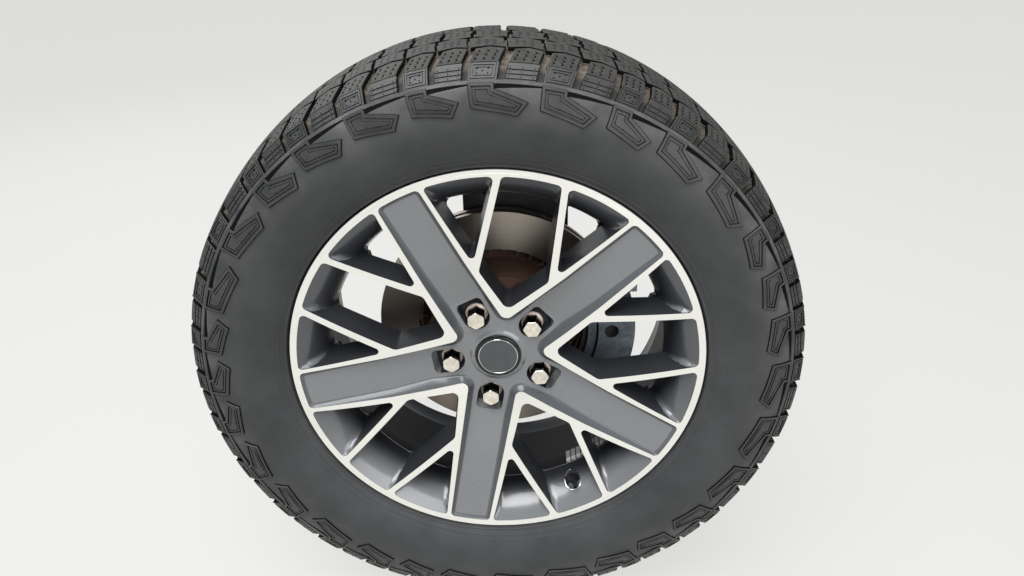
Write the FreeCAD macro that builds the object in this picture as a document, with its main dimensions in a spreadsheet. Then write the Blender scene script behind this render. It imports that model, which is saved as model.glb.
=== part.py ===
"""Wheel end of an off-road vehicle: tyre, alloy wheel, hub and disc brake, as far as the axle's flange.

Millimetres. +Y points inboard along the spin axis, -Y outboard, +Z up, and the vehicle's front is
at -X. The origin is on the spin axis, in the face that bolts to the axle's flange.
"""
import FreeCAD
import Part
import math
import os
import re
import Sketcher
from FreeCAD import Placement, Rotation, Vector

SIZES = {
    # Rim, as the size moulded on the tyre gives it: 20 inch by 8 inch
    "bead_radius": 254.0,
    "flange_height": 17.5,
    "rim_width": 203.2,
    "rim_flange": 13.0,
    "rim_edge": 6.5,
    "wheel_offset": 44.45,
    "pad_reach": 92.0,
    "seat_width": 25.0,
    "well_drop": 18.0,
    "well_width": 30.0,
    "well_slope": 17.0,
    "barrel_drop": 6.0,
    "rim_wall": 6.0,
    # Wheel face
    "face_edge": 9.3,
    "face_dish": 27.2,
    "dish_radius": 50.0,
    "window_slope_depth": 26.0,
    "window_wall_depth": 57.0,
    "window_foot_depth": 60.4,
    "window_foot_drop": 29.5,
    "hub_floor_height": 36.15,
    "hub_floor_radius": 75.0,
    "arm_floor_depth": 15.5,
    "arm_floor_radius": 130.0,
    "arm_end_depth": 3.3,
    "arm_end_edge": 7.2,
    "land_root_depth": 40.0,
    "pad_radius": 80.0,
    "back_hub_height": 10.15,
    "back_hub_radius": 100.0,
    "back_rim_depth": 44.0,
    "back_rim_edge": 22.2,
    "back_pocket_depth": 30.0,
    "back_pocket_inner": 118.0,
    "back_pocket_edge": 36.2,
    "back_pocket_half": 19.0,
    "wheel_turn": 154.1,
    # Bolted joint of wheel, brake disc and hub: 5 studs M14 on 127 mm
    "bolt_circle": 127.0,
    "stud_radius": 7.0,
    "stud_hole_radius": 7.8,
    "stud_head_radius": 9.0,
    "stud_head": 5.0,
    "stud_end": 46.0,
    "lug_recess_radius": 18.0,
    "lug_seat_height": 22.15,
    "lug_seat_cone": 6.0,
    "lug_seat_radius": 13.0,
    "nut_flats": 22.0,
    "nut_length": 33.0,
    "nut_crown": 3.0,
    "nut_bore_end": 6.0,
    "hub_bore": 71.5,
    "cap_radius": 31.0,
    "cap_gap": 0.3,
    "cap_proud": 7.0,
    "cap_wall": 3.0,
    "cap_skirt": 18.0,
    "cap_bore_height": 14.15,
    # Tyre 275/55 R20
    "section_height": 151.25,
    "section_width": 279.0,
    "shoulder_drop": 10.25,
    "protector_gap": 3.0,
    "side_wall": 9.0,
    "tread_wall": 18.0,
    "bead_foot": 17.0,
    "fit_gap": 0.3,
    "tread_depth": 11.5,
    "claw_height": 2.6,
    "tyre_turn": 158.55,
    "cross_groove_turn": 1.12,
    # Valve, in the slope of one window; its axis leans from the spin axis
    "valve_drop": 21.0,
    "valve_depth": 22.0,
    "valve_lean": 28.0,
    "valve_spot_radius": 10.5,
    "valve_hole_radius": 5.9,
    "valve_floor": 4.0,
    "valve_wall": 5.0,
    "valve_root_radius": 7.4,
    "valve_neck_radius": 5.2,
    "valve_cap_radius": 4.3,
    "valve_cap_length": 11.0,
    "valve_reach": 25.0,
    "valve_head_radius": 9.5,
    "valve_head": 6.0,
    # Balance weights, in one strip on the well and one on the barrel
    "weight_thickness": 4.0,
    "weight_width": 23.0,
    "weight_length": 7.8,
    "weight_turn": 2.1,
    "outer_weights_turn": 137.1,
    "inner_weights_turn": 316.1,
    # Brake disc
    "disc_radius": 171.0,
    "disc_depth": 50.0,
    "cheek": 7.0,
    "vent": 8.0,
    "cheek_inner_radius": 116.0,
    "hat_radius": 98.0,
    "hat_wall": 7.0,
    "hat_face": 6.0,
    "vane_inner_radius": 104.0,
    "vane_outer_radius": 167.0,
    "vane_thickness": 5.0,
    # Hub and bearing housing
    "hub_flange": 12.0,
    "hub_flange_radius": 76.0,
    "hub_shaft_radius": 30.0,
    "pilot_height": 10.0,
    "spline_radius": 14.0,
    "housing_radius": 50.0,
    "housing_reach": 62.0,
    "housing_flange": 12.0,
    "housing_flange_radius": 72.0,
    "shaft_gap": 0.3,
    "spigot_radius": 44.0,
    "spigot_length": 14.0,
    "spigot_relief": 2.0,
    "spigot_root_radius": 46.0,
    "shaft_overhang": 2.0,
    "axle_bolt_circle": 118.0,
    "axle_bolt_hole": 6.5,
    # Brake carrier plate and splash shield
    "plate_thickness": 10.0,
    "plate_radius": 84.0,
    "ear_reach": 112.0,
    "ear_half": 82.0,
    "ear_root_half": 55.0,
    "ear_chamfer": 10.0,
    "ear_notch": 103.0,
    "ear_notch_half": 57.0,
    "shield_thickness": 1.5,
    "shield_radius": 168.0,
    "shield_inner_radius": 73.0,
    "shield_notch": 104.0,
    "shield_notch_half": 66.0,
    "shield_lobe_radius": 195.0,
    "shield_lobe_front": 48.0,
    "shield_lobe_rear": 97.0,
    # Caliper
    "pad_outer_radius": 169.0,
    "pad_inner_radius": 119.0,
    "pad_half": 52.0,
    "pad_lining": 8.0,
    "pad_plate": 5.0,
    "pad_gap": 0.4,
    "caliper_clear": 6.0,
    "caliper_bridge": 14.0,
    "caliper_half": 46.0,
    "finger": 14.0,
    "finger_inner_radius": 140.0,
    "finger_hole_radius": 10.0,
    "finger_hole_place": 158.0,
    "piston_radius": 24.0,
    "piston_length": 36.0,
    "cylinder_wall": 7.0,
    "cylinder_radius_place": 146.0,
    "cylinder_length": 48.0,
    "tower_inner": 60.0,
    "tower_outer": 84.0,
    "tower_foot": 90.0,
    "tower_inboard": 14.0,
    "tower_clear": 6.0,
    "tower_outboard": 16.0,
    "tie_outer_radius": 137.5,
    "tie_inner_radius": 126.0,
    "tie_thickness": 8.0,
    "pin_radius": 5.0,
    "pin_place": 160.0,
    "pin_side": 73.0,
    "boot_radius": 8.5,
    "boot_length": 10.0,
    "lug_ear": 10.0,
    "lug_ear_radius": 12.0,
    "hex_head": 7.0,
    "hex_flats": 14.0,
    "bracket_bolt_place": 100.0,
    "bracket_bolt_side": 72.0,
    "bracket_bolt_head": 8.0,
    "bracket_bolt_flats": 18.0,
    "bleed_radius": 4.5,
    "bleed_length": 22.0,
    "union_radius": 9.0,
    "union_length": 12.0,
    # Overrun of cuts
    "overrun": 5.0,
}

# Outlines on the wheel's face as shares of its radius: across, outward, bend of the next edge, round
WINDOW_SHARES = [(0.0, 0.286, 0, 0.034), (0.1691, 0.4905, 0, 0.038), (0.1377, 0.9905, 0.0691, 0.025),
                 (-0.1377, 0.9905, 0, 0.025), (-0.1691, 0.4905, 0, 0.038)]
SIDE_WINDOW_SHARES = [(0.2002, 0.5286, 0, 0.019), (0.4798, 0.8780, 0.0825, 0.019), (0.1697, 0.9853, 0, 0.023)]
LAND_SHARES = [(0.0, 0.212, 0, 0.034), (0.508, 0.880, 0.268, 0), (-0.508, 0.880, 0, 0)]

SPOKES = 5
LUG_NUTS = 5
VANES = 36
OUTER_WEIGHTS = 9
INNER_WEIGHTS = 5
# Tyre's forms: heights above the bead as shares of section_height, widths as shares of section_width
BULGE_SHARE = 0.555
RIDGE_SHARE = 0.807
RIDGE_WIDTH_SHARE = 0.939
TREAD_WIDTH_SHARE = 0.846
PROTECTOR_WIDTH_SHARE = 0.8315
FACE_BEND_SHARE = 0.0612
TREAD_BEND_SHARE = 0.0869
SIDE_BEND_SHARE = 0.17
RIDGE_BEND_SHARE = 0.11

# Grooves round the tread and across its shoulder: height over the bead and distance from the middle
TREAD_GROOVE_SHARES = [(0.461, 0.490), (0.150, 0.197)]
CROSS_GROOVE_SHARES = [(0.8099, 0.9104), (0.8793, 0.8115), (0.9164, 0.4875), (1.0314, 0.4875),
                       (1.0314, 0.9520), (0.8364, 0.9520)]
# Claws on the sidewall: place along a pitch and height over the bead
CLAW_SHARES = [(0.0, 0.801), (0.02, 0.633), (0.69, 0.577), (0.83, 0.676), (0.385, 0.764), (0.345, 0.801)]
CLAW_SHIFT_SHARE = 1.467
PITCH_TURNS = [12.8, 10.3, 9.9, 9.9, 13.2, 13.2, 10.5, 11.3, 11.5, 10.7, 12.5, 12.4, 10.4, 12.4, 12.6, 9.8,
               9.8, 10.9, 13.2, 13.8, 13.0, 11.2, 9.9, 11.2, 13.0, 13.0, 11.2, 9.9, 11.2, 13.0, 12.3]
CROSS_SHARES = [0.477, 0.99]

RIM_RADIUS = "(bead_radius + flange_height)"
FACE_RADIUS = "(bead_radius + flange_height - face_edge)"
WELL_RADIUS = "(bead_radius - well_drop)"
BARREL_RADIUS = "(bead_radius - barrel_drop)"
VALVE_PLACE = "(bead_radius - valve_drop)"
HUB_FLOOR = "(-wheel_offset - hub_floor_height)"
LUG_SEAT = "(-wheel_offset - lug_seat_height)"
LIP = "-(rim_width / 2 + rim_flange)"
CENTRE_PLANE = "wheel_offset - pad_reach"
DISC_OUT = "disc_depth - pad_reach"
DISC_IN = "disc_depth + 2 * cheek + vent - pad_reach"

doc = FreeCAD.newDocument("wheel_end")
sheet = doc.addObject("Spreadsheet::Sheet", "Sizes")
for row, (name, value) in enumerate(SIZES.items(), start=1):
    sheet.set(f"A{row}", name)
    sheet.set(f"B{row}", str(value))
    sheet.setAlias(f"B{row}", name)
doc.recompute()

subparts = []


def tied(text):
    """An expression with the name of the sheet before each size."""
    return re.sub(r"[a-z_]+", lambda m: f"Sizes.{m.group()}" if m.group() in SIZES else m.group(), text)


def number(text):
    """What an expression in named sizes comes to."""
    return float(sheet.evalExpression(tied(text)))


def depth(text):
    """The place on the wheel's axis that lies a given depth behind the rim's outer lip."""
    return f"{LIP} + {text}"


def subpart(label, along="0", across="0", up="0", turn="0", lean="0"):
    """A new body with its label and its place, turned about the spin axis."""
    body = doc.addObject("PartDesign::Body", label)
    body.Label = label
    turned = Rotation(Vector(0, 1, 0), number(turn))
    leaning = Rotation(Vector(1, 0, 0), number(lean))
    body.Placement = Placement(Vector(), turned * leaning)
    body.setExpression(".Placement.Base.x", tied(across))
    body.setExpression(".Placement.Base.y", tied(along))
    body.setExpression(".Placement.Base.z", tied(up))
    subparts.append(body)
    return body


def sketch_on(body, plane, offset=None):
    """A sketch on one of the body's own origin planes, moved along the plane's normal."""
    sketch = body.newObject("Sketcher::SketchObject", f"{body.Label}_outline")
    origin_plane = next(f for f in body.Origin.OriginFeatures if f.Role == plane)
    sketch.AttachmentSupport = [(origin_plane, "")]
    sketch.MapMode = "FlatFace"
    if offset:
        sketch.setExpression(".AttachmentOffset.Base.z", tied(offset))
    return sketch


def bind(sketch, kind, *args):
    """A constraint whose value is an expression in named sizes."""
    *where, text = args
    index = sketch.addConstraint(Sketcher.Constraint(kind, *where, number(text)))
    sketch.setExpression(f"Constraints[{index}]", tied(text))


def bent(start, end, bend):
    """A straight edge, or an arc whose bend is the tangent of a quarter of its angle."""
    if not bend:
        return Part.LineSegment(start, end)
    chord = end - start
    side = Vector(chord.y, -chord.x, 0)
    middle = (start + end) * 0.5 + side * (bend / 2)
    return Part.Arc(start, middle, end)


def outline(sketch, corners):
    """A closed outline through corners (across, along), or with the bend of the edge that follows."""
    points = [Vector(number(corner[0]), number(corner[1]), 0) for corner in corners]
    bends = [corner[2] if len(corner) > 2 else 0 for corner in corners]
    first = sketch.GeometryCount
    count = len(corners)
    for index in range(count):
        sketch.addGeometry(bent(points[index], points[(index + 1) % count], bends[index]))
    for index, corner in enumerate(corners):
        before = (index - 1) % count
        start = 2 if bends[index] < 0 else 1
        end = 1 if bends[before] < 0 else 2
        sketch.addConstraint(Sketcher.Constraint("Coincident", first + before, end, first + index, start))
        bind(sketch, "DistanceX", -1, 1, first + index, start, corner[0])
        bind(sketch, "DistanceY", -1, 1, first + index, start, corner[1])
        if bends[index]:
            arc_angle = 4 * math.atan(abs(bends[index]))
            sketch.addConstraint(Sketcher.Constraint("Angle", first + index, arc_angle))


def circle(sketch, radius, across="0", along="0"):
    """A circle of a named radius."""
    centre = Vector(number(across), number(along), 0)
    index = sketch.addGeometry(Part.Circle(centre, Vector(0, 0, 1), number(radius)))
    bind(sketch, "Radius", index, radius)
    bind(sketch, "DistanceX", -1, 1, index, 3, across)
    bind(sketch, "DistanceY", -1, 1, index, 3, along)


def hexagon(sketch, flats, across="0", along="0"):
    """A hexagon of a named width over its flats."""
    corner = f"{flats} / sqrt(3)"
    half = f"{flats} / 2"
    outline(sketch, [(f"{across} + {corner}", along), (f"{across} + {corner} / 2", f"{along} + {half}"),
                     (f"{across} - {corner} / 2", f"{along} + {half}"), (f"{across} - {corner}", along),
                     (f"{across} - {corner} / 2", f"{along} - {half}"),
                     (f"{across} + {corner} / 2", f"{along} - {half}")])


def softened(table):
    """A table of corners (across, outward, bend, round) with each round as an arc of its own."""
    rows = []
    count = len(table)
    for index, (across, outward, bend, size) in enumerate(table):
        if not size:
            rows.append((across, outward, bend))
            continue
        here = Vector(across, outward, 0)
        before = (here - Vector(*table[index - 1][:2], 0)).normalize()
        after = (Vector(*table[(index + 1) % count][:2], 0) - here).normalize()
        before = Rotation(Vector(0, 0, 1), math.degrees(2 * math.atan(table[index - 1][2]))).multVec(before)
        after = Rotation(Vector(0, 0, 1), math.degrees(-2 * math.atan(bend))).multVec(after)
        turn = before.getAngle(after) * math.copysign(1, before.cross(after).z)
        reach = size * math.tan(abs(turn) / 2)
        start, end = here - before * reach, here + after * reach
        rows += [(start.x, start.y, -math.tan(-turn / 4)), (end.x, end.y, bend)]
    return rows


def shares(table, size):
    """A table of shares of one size as an outline's corners."""
    return [(f"{size} * {across:.6f}", f"{size} * {along:.6f}", *rest) for across, along, *rest in table]


def feature(body, kind, sketch, **settings):
    """A sketch-based feature of a body."""
    made = body.newObject(f"PartDesign::{kind}", f"{body.Label}_{kind.lower()}")
    made.Profile = sketch
    for name, value in settings.items():
        setattr(made, name, value)
    return made


def revolve(body, corners, kind="Revolution"):
    """A solid or a groove turned about the body's Y axis from corners (radius, along)."""
    sketch = sketch_on(body, "XY_Plane")
    outline(sketch, corners)
    return feature(body, kind, sketch, ReferenceAxis=(sketch, ["V_Axis"]), Angle=360.0)


def pad(body, sketch, length, outboard=True):
    """A pad of a sketch on the XZ plane, outboard or inboard."""
    made = feature(body, "Pad", sketch, Reversed=not outboard)
    made.setExpression("Length", tied(length))
    return made


def pocket(body, sketch, length, outboard=True):
    """A pocket of a sketch on the XZ plane, cut outboard or inboard; it has to take material away."""
    doc.recompute()
    before = body.Shape.Volume
    made = feature(body, "Pocket", sketch, Reversed=outboard)
    made.setExpression("Length", tied(length))
    doc.recompute()
    if body.Shape.Volume >= before:
        raise RuntimeError(f"a pocket of {body.Label} cuts nothing")
    return made


def ring_of(body, seeds, count):
    """Copies of features about the body's Y axis."""
    pattern = body.newObject("PartDesign::PolarPattern", f"{body.Label}_ring")
    y_axis = next(f for f in body.Origin.OriginFeatures if f.Role == "Y_Axis")
    pattern.Originals = seeds
    pattern.Axis = (y_axis, [""])
    pattern.Angle = 360.0
    pattern.Occurrences = count
    body.Tip = pattern
    return pattern


def spaced_ring(body, seeds, turns):
    """Copies of features about the body's Y axis, with a turn of its own after each copy."""
    pattern = ring_of(body, seeds, len(turns))
    pattern.Mode = "Spacing"
    pattern.Spacings = turns
    return pattern


def both_sides(half, crown_bend):
    """A half outline from the bead up, given at +Y, led from its mirror at -Y over the crown."""
    low = [(r, f"-({y})", bend) for r, y, bend in half]
    low[-1] = (*low[-1][:2], crown_bend)
    bends = [0] + [bend for _, _, bend in half[:-1]]
    high = [(r, y, bend) for (r, y, _), bend in zip(half, bends)]
    return low + high[::-1]


def far_side(corners):
    """An outline mirrored to the wheel's other side, led round the same way."""
    turned = [(r, f"-({y})", *corners[index - 1][2:]) for index, (r, y, *_) in enumerate(corners)]
    return turned[::-1]


def over_bead(share):
    """A radius from its share of the tyre's section height."""
    return f"bead_radius + {share} * section_height"


def claw_outline(shift, way):
    """A claw on the sidewall; it starts at a place along its pitch and runs one way round."""
    pitch = sum(PITCH_TURNS) / len(PITCH_TURNS)
    lead = CROSS_SHARES[0] * PITCH_TURNS[0] - SIZES["cross_groove_turn"] / 2
    corners = []
    for along, height in CLAW_SHARES:
        angle = math.radians(lead - (shift + way * along) * pitch)
        corners.append((f"({over_bead(height)}) * {math.cos(angle):.8f}",
                        f"({over_bead(height)}) * {math.sin(angle):.8f}"))
    return corners


def make_claws(body):
    """Raised claws on both sidewalls, one to a pitch, trimmed to an even height over the rubber."""
    seeds = []
    start = "section_width / 2 - side_wall"
    for shift, way, side in ((0, 1, ""), (CLAW_SHIFT_SHARE, -1, "-")):
        claw = sketch_on(body, "XZ_Plane", f"{side}({start})")
        outline(claw, claw_outline(shift, way))
        seeds.append(pad(body, claw, "side_wall + 2 * claw_height", outboard=not side))
    spaced_ring(body, seeds, PITCH_TURNS)
    half = "section_width / 2"
    ridge_half = f"{RIDGE_WIDTH_SHARE} * {half} + claw_height"
    trim = [(over_bead(RIDGE_SHARE), ridge_half, RIDGE_BEND_SHARE),
            (over_bead(BULGE_SHARE), f"{half} + claw_height", 0),
            (f"{over_bead(BULGE_SHARE)} - overrun", f"{half} + claw_height", 0),
            (f"{over_bead(BULGE_SHARE)} - overrun", f"{half} + 3 * claw_height", 0),
            (over_bead(RIDGE_SHARE), f"{half} + 3 * claw_height", 0)]
    sketch = sketch_on(body, "XY_Plane")
    outline(sketch, trim)
    outline(sketch, far_side(trim))
    feature(body, "Groove", sketch, ReferenceAxis=(sketch, ["V_Axis"]), Angle=360.0)


def make_tread_grooves(body):
    """Grooves round the tread, and two grooves to a pitch across each shoulder."""
    sketch = sketch_on(body, "XY_Plane")
    top = "bead_radius + section_height"
    for near, far in TREAD_GROOVE_SHARES:
        for side in ("", "-"):
            middle = [f"{side}{share} * section_width / 2" for share in (near, far)]
            outline(sketch, [(f"{top} - tread_depth", middle[0]), (f"{top} - tread_depth", middle[1]),
                             (f"{top} + overrun", middle[1]), (f"{top} + overrun", middle[0])])
    feature(body, "Groove", sketch, ReferenceAxis=(sketch, ["V_Axis"]), Angle=360.0)
    cross = sketch_on(body, "XY_Plane")
    corners = [(over_bead(height), f"{out} * section_width / 2") for height, out in CROSS_GROOVE_SHARES]
    outline(cross, corners)
    outline(cross, far_side(corners))
    cut = feature(body, "Groove", cross, ReferenceAxis=(cross, ["V_Axis"]))
    cut.setExpression("Angle", tied("cross_groove_turn"))
    starts = [sum(PITCH_TURNS[:index]) for index in range(len(PITCH_TURNS))]
    places = [start + share * turn for start, turn in zip(starts, PITCH_TURNS) for share in CROSS_SHARES]
    places.append(places[0] + 360)
    spaced_ring(body, [cut], [after - before for before, after in zip(places, places[1:])])


def make_tyre():
    """Hollow tyre: the outer form is turned, its cavity is cut out of it, then claws and grooves."""
    body = subpart("tyre", along=CENTRE_PLANE, turn="tyre_turn")
    shoulder = "bead_radius + section_height - shoulder_drop"
    bulge = f"bead_radius + {BULGE_SHARE} * section_height"
    root = "rim_width / 2 - fit_gap"
    tread_half = f"{TREAD_WIDTH_SHARE} * section_width / 2"
    revolve(body, both_sides([
        ("bead_radius + fit_gap", root, 0),
        (f"{RIM_RADIUS} - rim_edge + fit_gap", root, 0),
        (f"{RIM_RADIUS} + 2 * fit_gap", "rim_width / 2 + rim_edge - fit_gap", 0),
        (f"{RIM_RADIUS} + protector_gap", f"{PROTECTOR_WIDTH_SHARE} * section_width / 2", SIDE_BEND_SHARE),
        (bulge, "section_width / 2", RIDGE_BEND_SHARE),
        (f"bead_radius + {RIDGE_SHARE} * section_height", f"{RIDGE_WIDTH_SHARE} * section_width / 2", 0),
        (shoulder, tread_half, 0)], TREAD_BEND_SHARE))
    revolve(body, both_sides([
        ("bead_radius", "rim_width / 2 - bead_foot", 0),
        (f"{RIM_RADIUS} + bead_foot", "rim_width / 2 - side_wall / 2", SIDE_BEND_SHARE),
        (bulge, "section_width / 2 - side_wall", 2 * RIDGE_BEND_SHARE),
        (f"{shoulder} - tread_wall", f"{tread_half} - tread_wall", 0)], TREAD_BEND_SHARE), "Groove")
    make_claws(body)
    make_tread_grooves(body)


def on_valve_axis(along, off):
    """The place in the wheel's frame of a point along the valve's axis and off it: axial, radial."""
    lean = math.radians(SIZES["valve_lean"])
    cosine, sine = f"{math.cos(lean):.8f}", f"{math.sin(lean):.8f}"
    return (f"{depth('valve_depth')} + ({along}) * {cosine} - ({off}) * {sine}",
            f"{VALVE_PLACE} + ({along}) * {sine} + ({off}) * {cosine}")


def mirrored(table):
    """A table of shares of an outline, mirrored across its mid-line."""
    turned = [(-row[0], row[1], table[index - 1][2], row[3]) for index, row in enumerate(table)]
    return turned[::-1]


def make_alloy_wheel():
    """Alloy wheel: a cast disc with raised lands and windows, its rim, and a face turned last."""
    body = subpart("alloy_wheel", along=CENTRE_PLANE, turn="wheel_turn")
    pad_face = "-wheel_offset"
    cap_bore = "cap_radius + cap_gap"
    revolve(body, [
        (cap_bore, HUB_FLOOR),
        (cap_bore, f"{pad_face} - cap_bore_height"),
        ("hub_bore / 2", f"{pad_face} - cap_bore_height"),
        ("hub_bore / 2", pad_face),
        ("pad_radius", pad_face),
        ("back_hub_radius", f"{pad_face} - back_hub_height"),
        (f"{FACE_RADIUS} - back_rim_edge", depth("back_rim_depth")),
        (FACE_RADIUS, depth("back_rim_depth / 2")),
        (FACE_RADIUS, depth("arm_end_depth")),
        (f"{FACE_RADIUS} - arm_end_edge", depth("arm_end_depth")),
        ("arm_floor_radius", depth("arm_floor_depth")),
        ("hub_floor_radius", HUB_FLOOR)])

    land = sketch_on(body, "XZ_Plane", "rim_width / 2 + rim_flange - land_root_depth")
    outline(land, shares(softened(LAND_SHARES), FACE_RADIUS))
    ring_of(body, [pad(body, land, "land_root_depth + overrun")], SPOKES)

    windows = []
    for table in (WINDOW_SHARES, SIDE_WINDOW_SHARES, mirrored(SIDE_WINDOW_SHARES)):
        window = sketch_on(body, "XZ_Plane")
        outline(window, shares(softened(table), FACE_RADIUS))
        windows.append(pocket(body, window, "rim_width / 2 + rim_flange + 2 * overrun"))
    back = sketch_on(body, "XZ_Plane")
    far_end = f"-({FACE_RADIUS} - back_pocket_edge)"
    outline(back, [("back_pocket_half", "-back_pocket_inner"), ("-back_pocket_half", "-back_pocket_inner"),
                   ("-back_pocket_half", far_end), ("back_pocket_half", far_end)])
    hollow = pocket(body, back, "rim_width / 2 + rim_flange - back_pocket_depth")
    ring_of(body, windows + [hollow], SPOKES)

    bead_seat = [
        ("bead_radius - rim_wall / 2", "-rim_width / 2"),
        (f"{RIM_RADIUS} - rim_edge", "-rim_width / 2"),
        (RIM_RADIUS, "-rim_width / 2 - rim_edge"),
        (f"{RIM_RADIUS} + overrun", "-rim_width / 2 - rim_edge"),
        (f"{RIM_RADIUS} + overrun", "-rim_width / 2 + seat_width + well_slope"),
        ("bead_radius - rim_wall / 2", "-rim_width / 2 + seat_width + well_slope")]
    revolve(body, bead_seat, "Groove")
    rim_outer = [
        (RIM_RADIUS, LIP),
        (RIM_RADIUS, "-rim_width / 2 - rim_edge"),
        (f"{RIM_RADIUS} - rim_edge", "-rim_width / 2"),
        ("bead_radius", "-rim_width / 2"),
        ("bead_radius", "-rim_width / 2 + seat_width"),
        (WELL_RADIUS, "-rim_width / 2 + seat_width + well_slope"),
        (WELL_RADIUS, "-rim_width / 2 + seat_width + well_slope + well_width"),
        (BARREL_RADIUS, "-rim_width / 2 + seat_width + 2 * well_slope + well_width"),
        (BARREL_RADIUS, "rim_width / 2 - 1.5 * seat_width"),
        ("bead_radius", "rim_width / 2 - seat_width"),
        ("bead_radius", "rim_width / 2"),
        (f"{RIM_RADIUS} - rim_edge", "rim_width / 2"),
        (RIM_RADIUS, "rim_width / 2 + rim_edge"),
        (RIM_RADIUS, "rim_width / 2 + rim_flange")]
    rim_inner = [
        (f"{RIM_RADIUS} - rim_edge", "rim_width / 2 + rim_flange"),
        ("bead_radius - rim_wall", "rim_width / 2"),
        ("bead_radius - rim_wall", "rim_width / 2 - seat_width"),
        (f"{BARREL_RADIUS} - rim_wall", "rim_width / 2 - 1.5 * seat_width"),
        (f"{BARREL_RADIUS} - rim_wall", "-rim_width / 2 + seat_width + 2 * well_slope + well_width"),
        (f"{WELL_RADIUS} - rim_wall", "-rim_width / 2 + seat_width + well_slope + well_width"),
        (f"{WELL_RADIUS} - rim_wall", depth("window_foot_depth")),
        ("bead_radius - window_foot_drop", depth("window_wall_depth")),
        ("bead_radius - window_foot_drop", depth("window_slope_depth")),
        (FACE_RADIUS, LIP)]
    revolve(body, rim_outer + rim_inner)

    turned_face = [
        ("dish_radius", depth("face_dish"), -FACE_BEND_SHARE),
        (RIM_RADIUS, LIP),
        (RIM_RADIUS, f"{LIP} - 2 * overrun"),
        ("dish_radius", f"{LIP} - 2 * overrun")]
    revolve(body, turned_face, "Groove")

    lug = sketch_on(body, "YZ_Plane")
    across = "-bolt_circle / 2"
    seat = LUG_SEAT
    seat_end = f"{LUG_SEAT} + lug_seat_cone"
    outline(lug, [(f"{LIP} - 2 * overrun", across), (f"{LIP} - 2 * overrun", f"{across} - lug_recess_radius"),
                  (seat, f"{across} - lug_recess_radius"), (seat, f"{across} - lug_seat_radius"),
                  (seat_end, f"{across} - stud_hole_radius"), (pad_face, f"{across} - stud_hole_radius"),
                  (pad_face, across)])
    axis = lug.addGeometry(Part.LineSegment(Vector(number(LIP), number(across), 0),
                                            Vector(number(pad_face), number(across), 0)), True)
    lug.addConstraint(Sketcher.Constraint("Horizontal", axis))
    bind(lug, "DistanceY", -1, 1, axis, 1, across)
    hole = feature(body, "Groove", lug, ReferenceAxis=(lug, ["Axis0"]), Angle=360.0)
    ring_of(body, [hole], LUG_NUTS)

    valve = sketch_on(body, "YZ_Plane")
    floor, wall_end = "valve_floor", "valve_floor + valve_wall"
    far = "4 * valve_spot_radius"
    outline(valve, [on_valve_axis(f"-({far})", "0"), on_valve_axis(f"-({far})", "valve_spot_radius"),
                    on_valve_axis(floor, "valve_spot_radius"), on_valve_axis(floor, "valve_hole_radius"),
                    on_valve_axis(wall_end, "valve_hole_radius"), on_valve_axis(wall_end, "valve_spot_radius"),
                    on_valve_axis(far, "valve_spot_radius"), on_valve_axis(far, "0")])
    start = Vector(*[number(text) for text in on_valve_axis(f"-({far})", "0")], 0)
    end = Vector(*[number(text) for text in on_valve_axis(far, "0")], 0)
    axis = valve.addGeometry(Part.LineSegment(start, end), True)
    for vertex, place in ((1, f"-({far})"), (2, far)):
        along, up = on_valve_axis(place, "0")
        bind(valve, "DistanceX", -1, 1, axis, vertex, along)
        bind(valve, "DistanceY", -1, 1, axis, vertex, up)
    feature(body, "Groove", valve, ReferenceAxis=(valve, ["Axis0"]), Angle=360.0)


def make_centre_cap():
    """Push-in cap: a shallow cup with its rim in the wheel's bore."""
    body = subpart("centre_cap", along=CENTRE_PLANE, turn="wheel_turn")
    face = f"{HUB_FLOOR} - cap_proud"
    end = f"{HUB_FLOOR} + cap_skirt"
    revolve(body, [("0", face), ("cap_radius - cap_wall", face), ("cap_radius", f"{face} + cap_wall"),
                   ("cap_radius", end), ("cap_radius - cap_wall", end),
                   ("cap_radius - cap_wall", f"{face} + cap_wall"), ("0", f"{face} + cap_wall")])


def on_bolt_circle(index):
    """Across and up of a stud on the bolt circle, at rest."""
    angle = math.radians(SIZES["wheel_turn"] + 180 + index * 360 / LUG_NUTS)
    return f"bolt_circle / 2 * {math.sin(angle):.8f}", f"bolt_circle / 2 * {math.cos(angle):.8f}"


def make_lug_nut(index):
    """Closed nut: a hexagon with a turned crown, its seat cone and a blind bore."""
    across, up = on_bolt_circle(index)
    seat = f"{CENTRE_PLANE} + {LUG_SEAT}"
    body = subpart(f"lug_nut_{index + 1}", along=seat, across=across, up=up, turn="wheel_turn")
    prism = sketch_on(body, "XZ_Plane")
    hexagon(prism, "nut_flats")
    pad(body, prism, "nut_length")
    cone_top = "lug_seat_radius - fit_gap"
    revolve(body, [("0", "0"), (cone_top, "0"), ("stud_hole_radius", "lug_seat_cone - fit_gap"),
                   ("0", "lug_seat_cone - fit_gap")])
    corner = "nut_flats / sqrt(3)"
    revolve(body, [("nut_flats / 2", "-nut_length"), (f"{corner} + overrun", "-nut_length"),
                   (f"{corner} + overrun", "-nut_length + nut_crown"),
                   (corner, "-nut_length + nut_crown")], "Groove")
    bore = sketch_on(body, "XZ_Plane", "-lug_seat_cone - overrun")
    circle(bore, "stud_radius + fit_gap")
    pocket(body, bore, "nut_length - nut_bore_end + lug_seat_cone + overrun")


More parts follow.
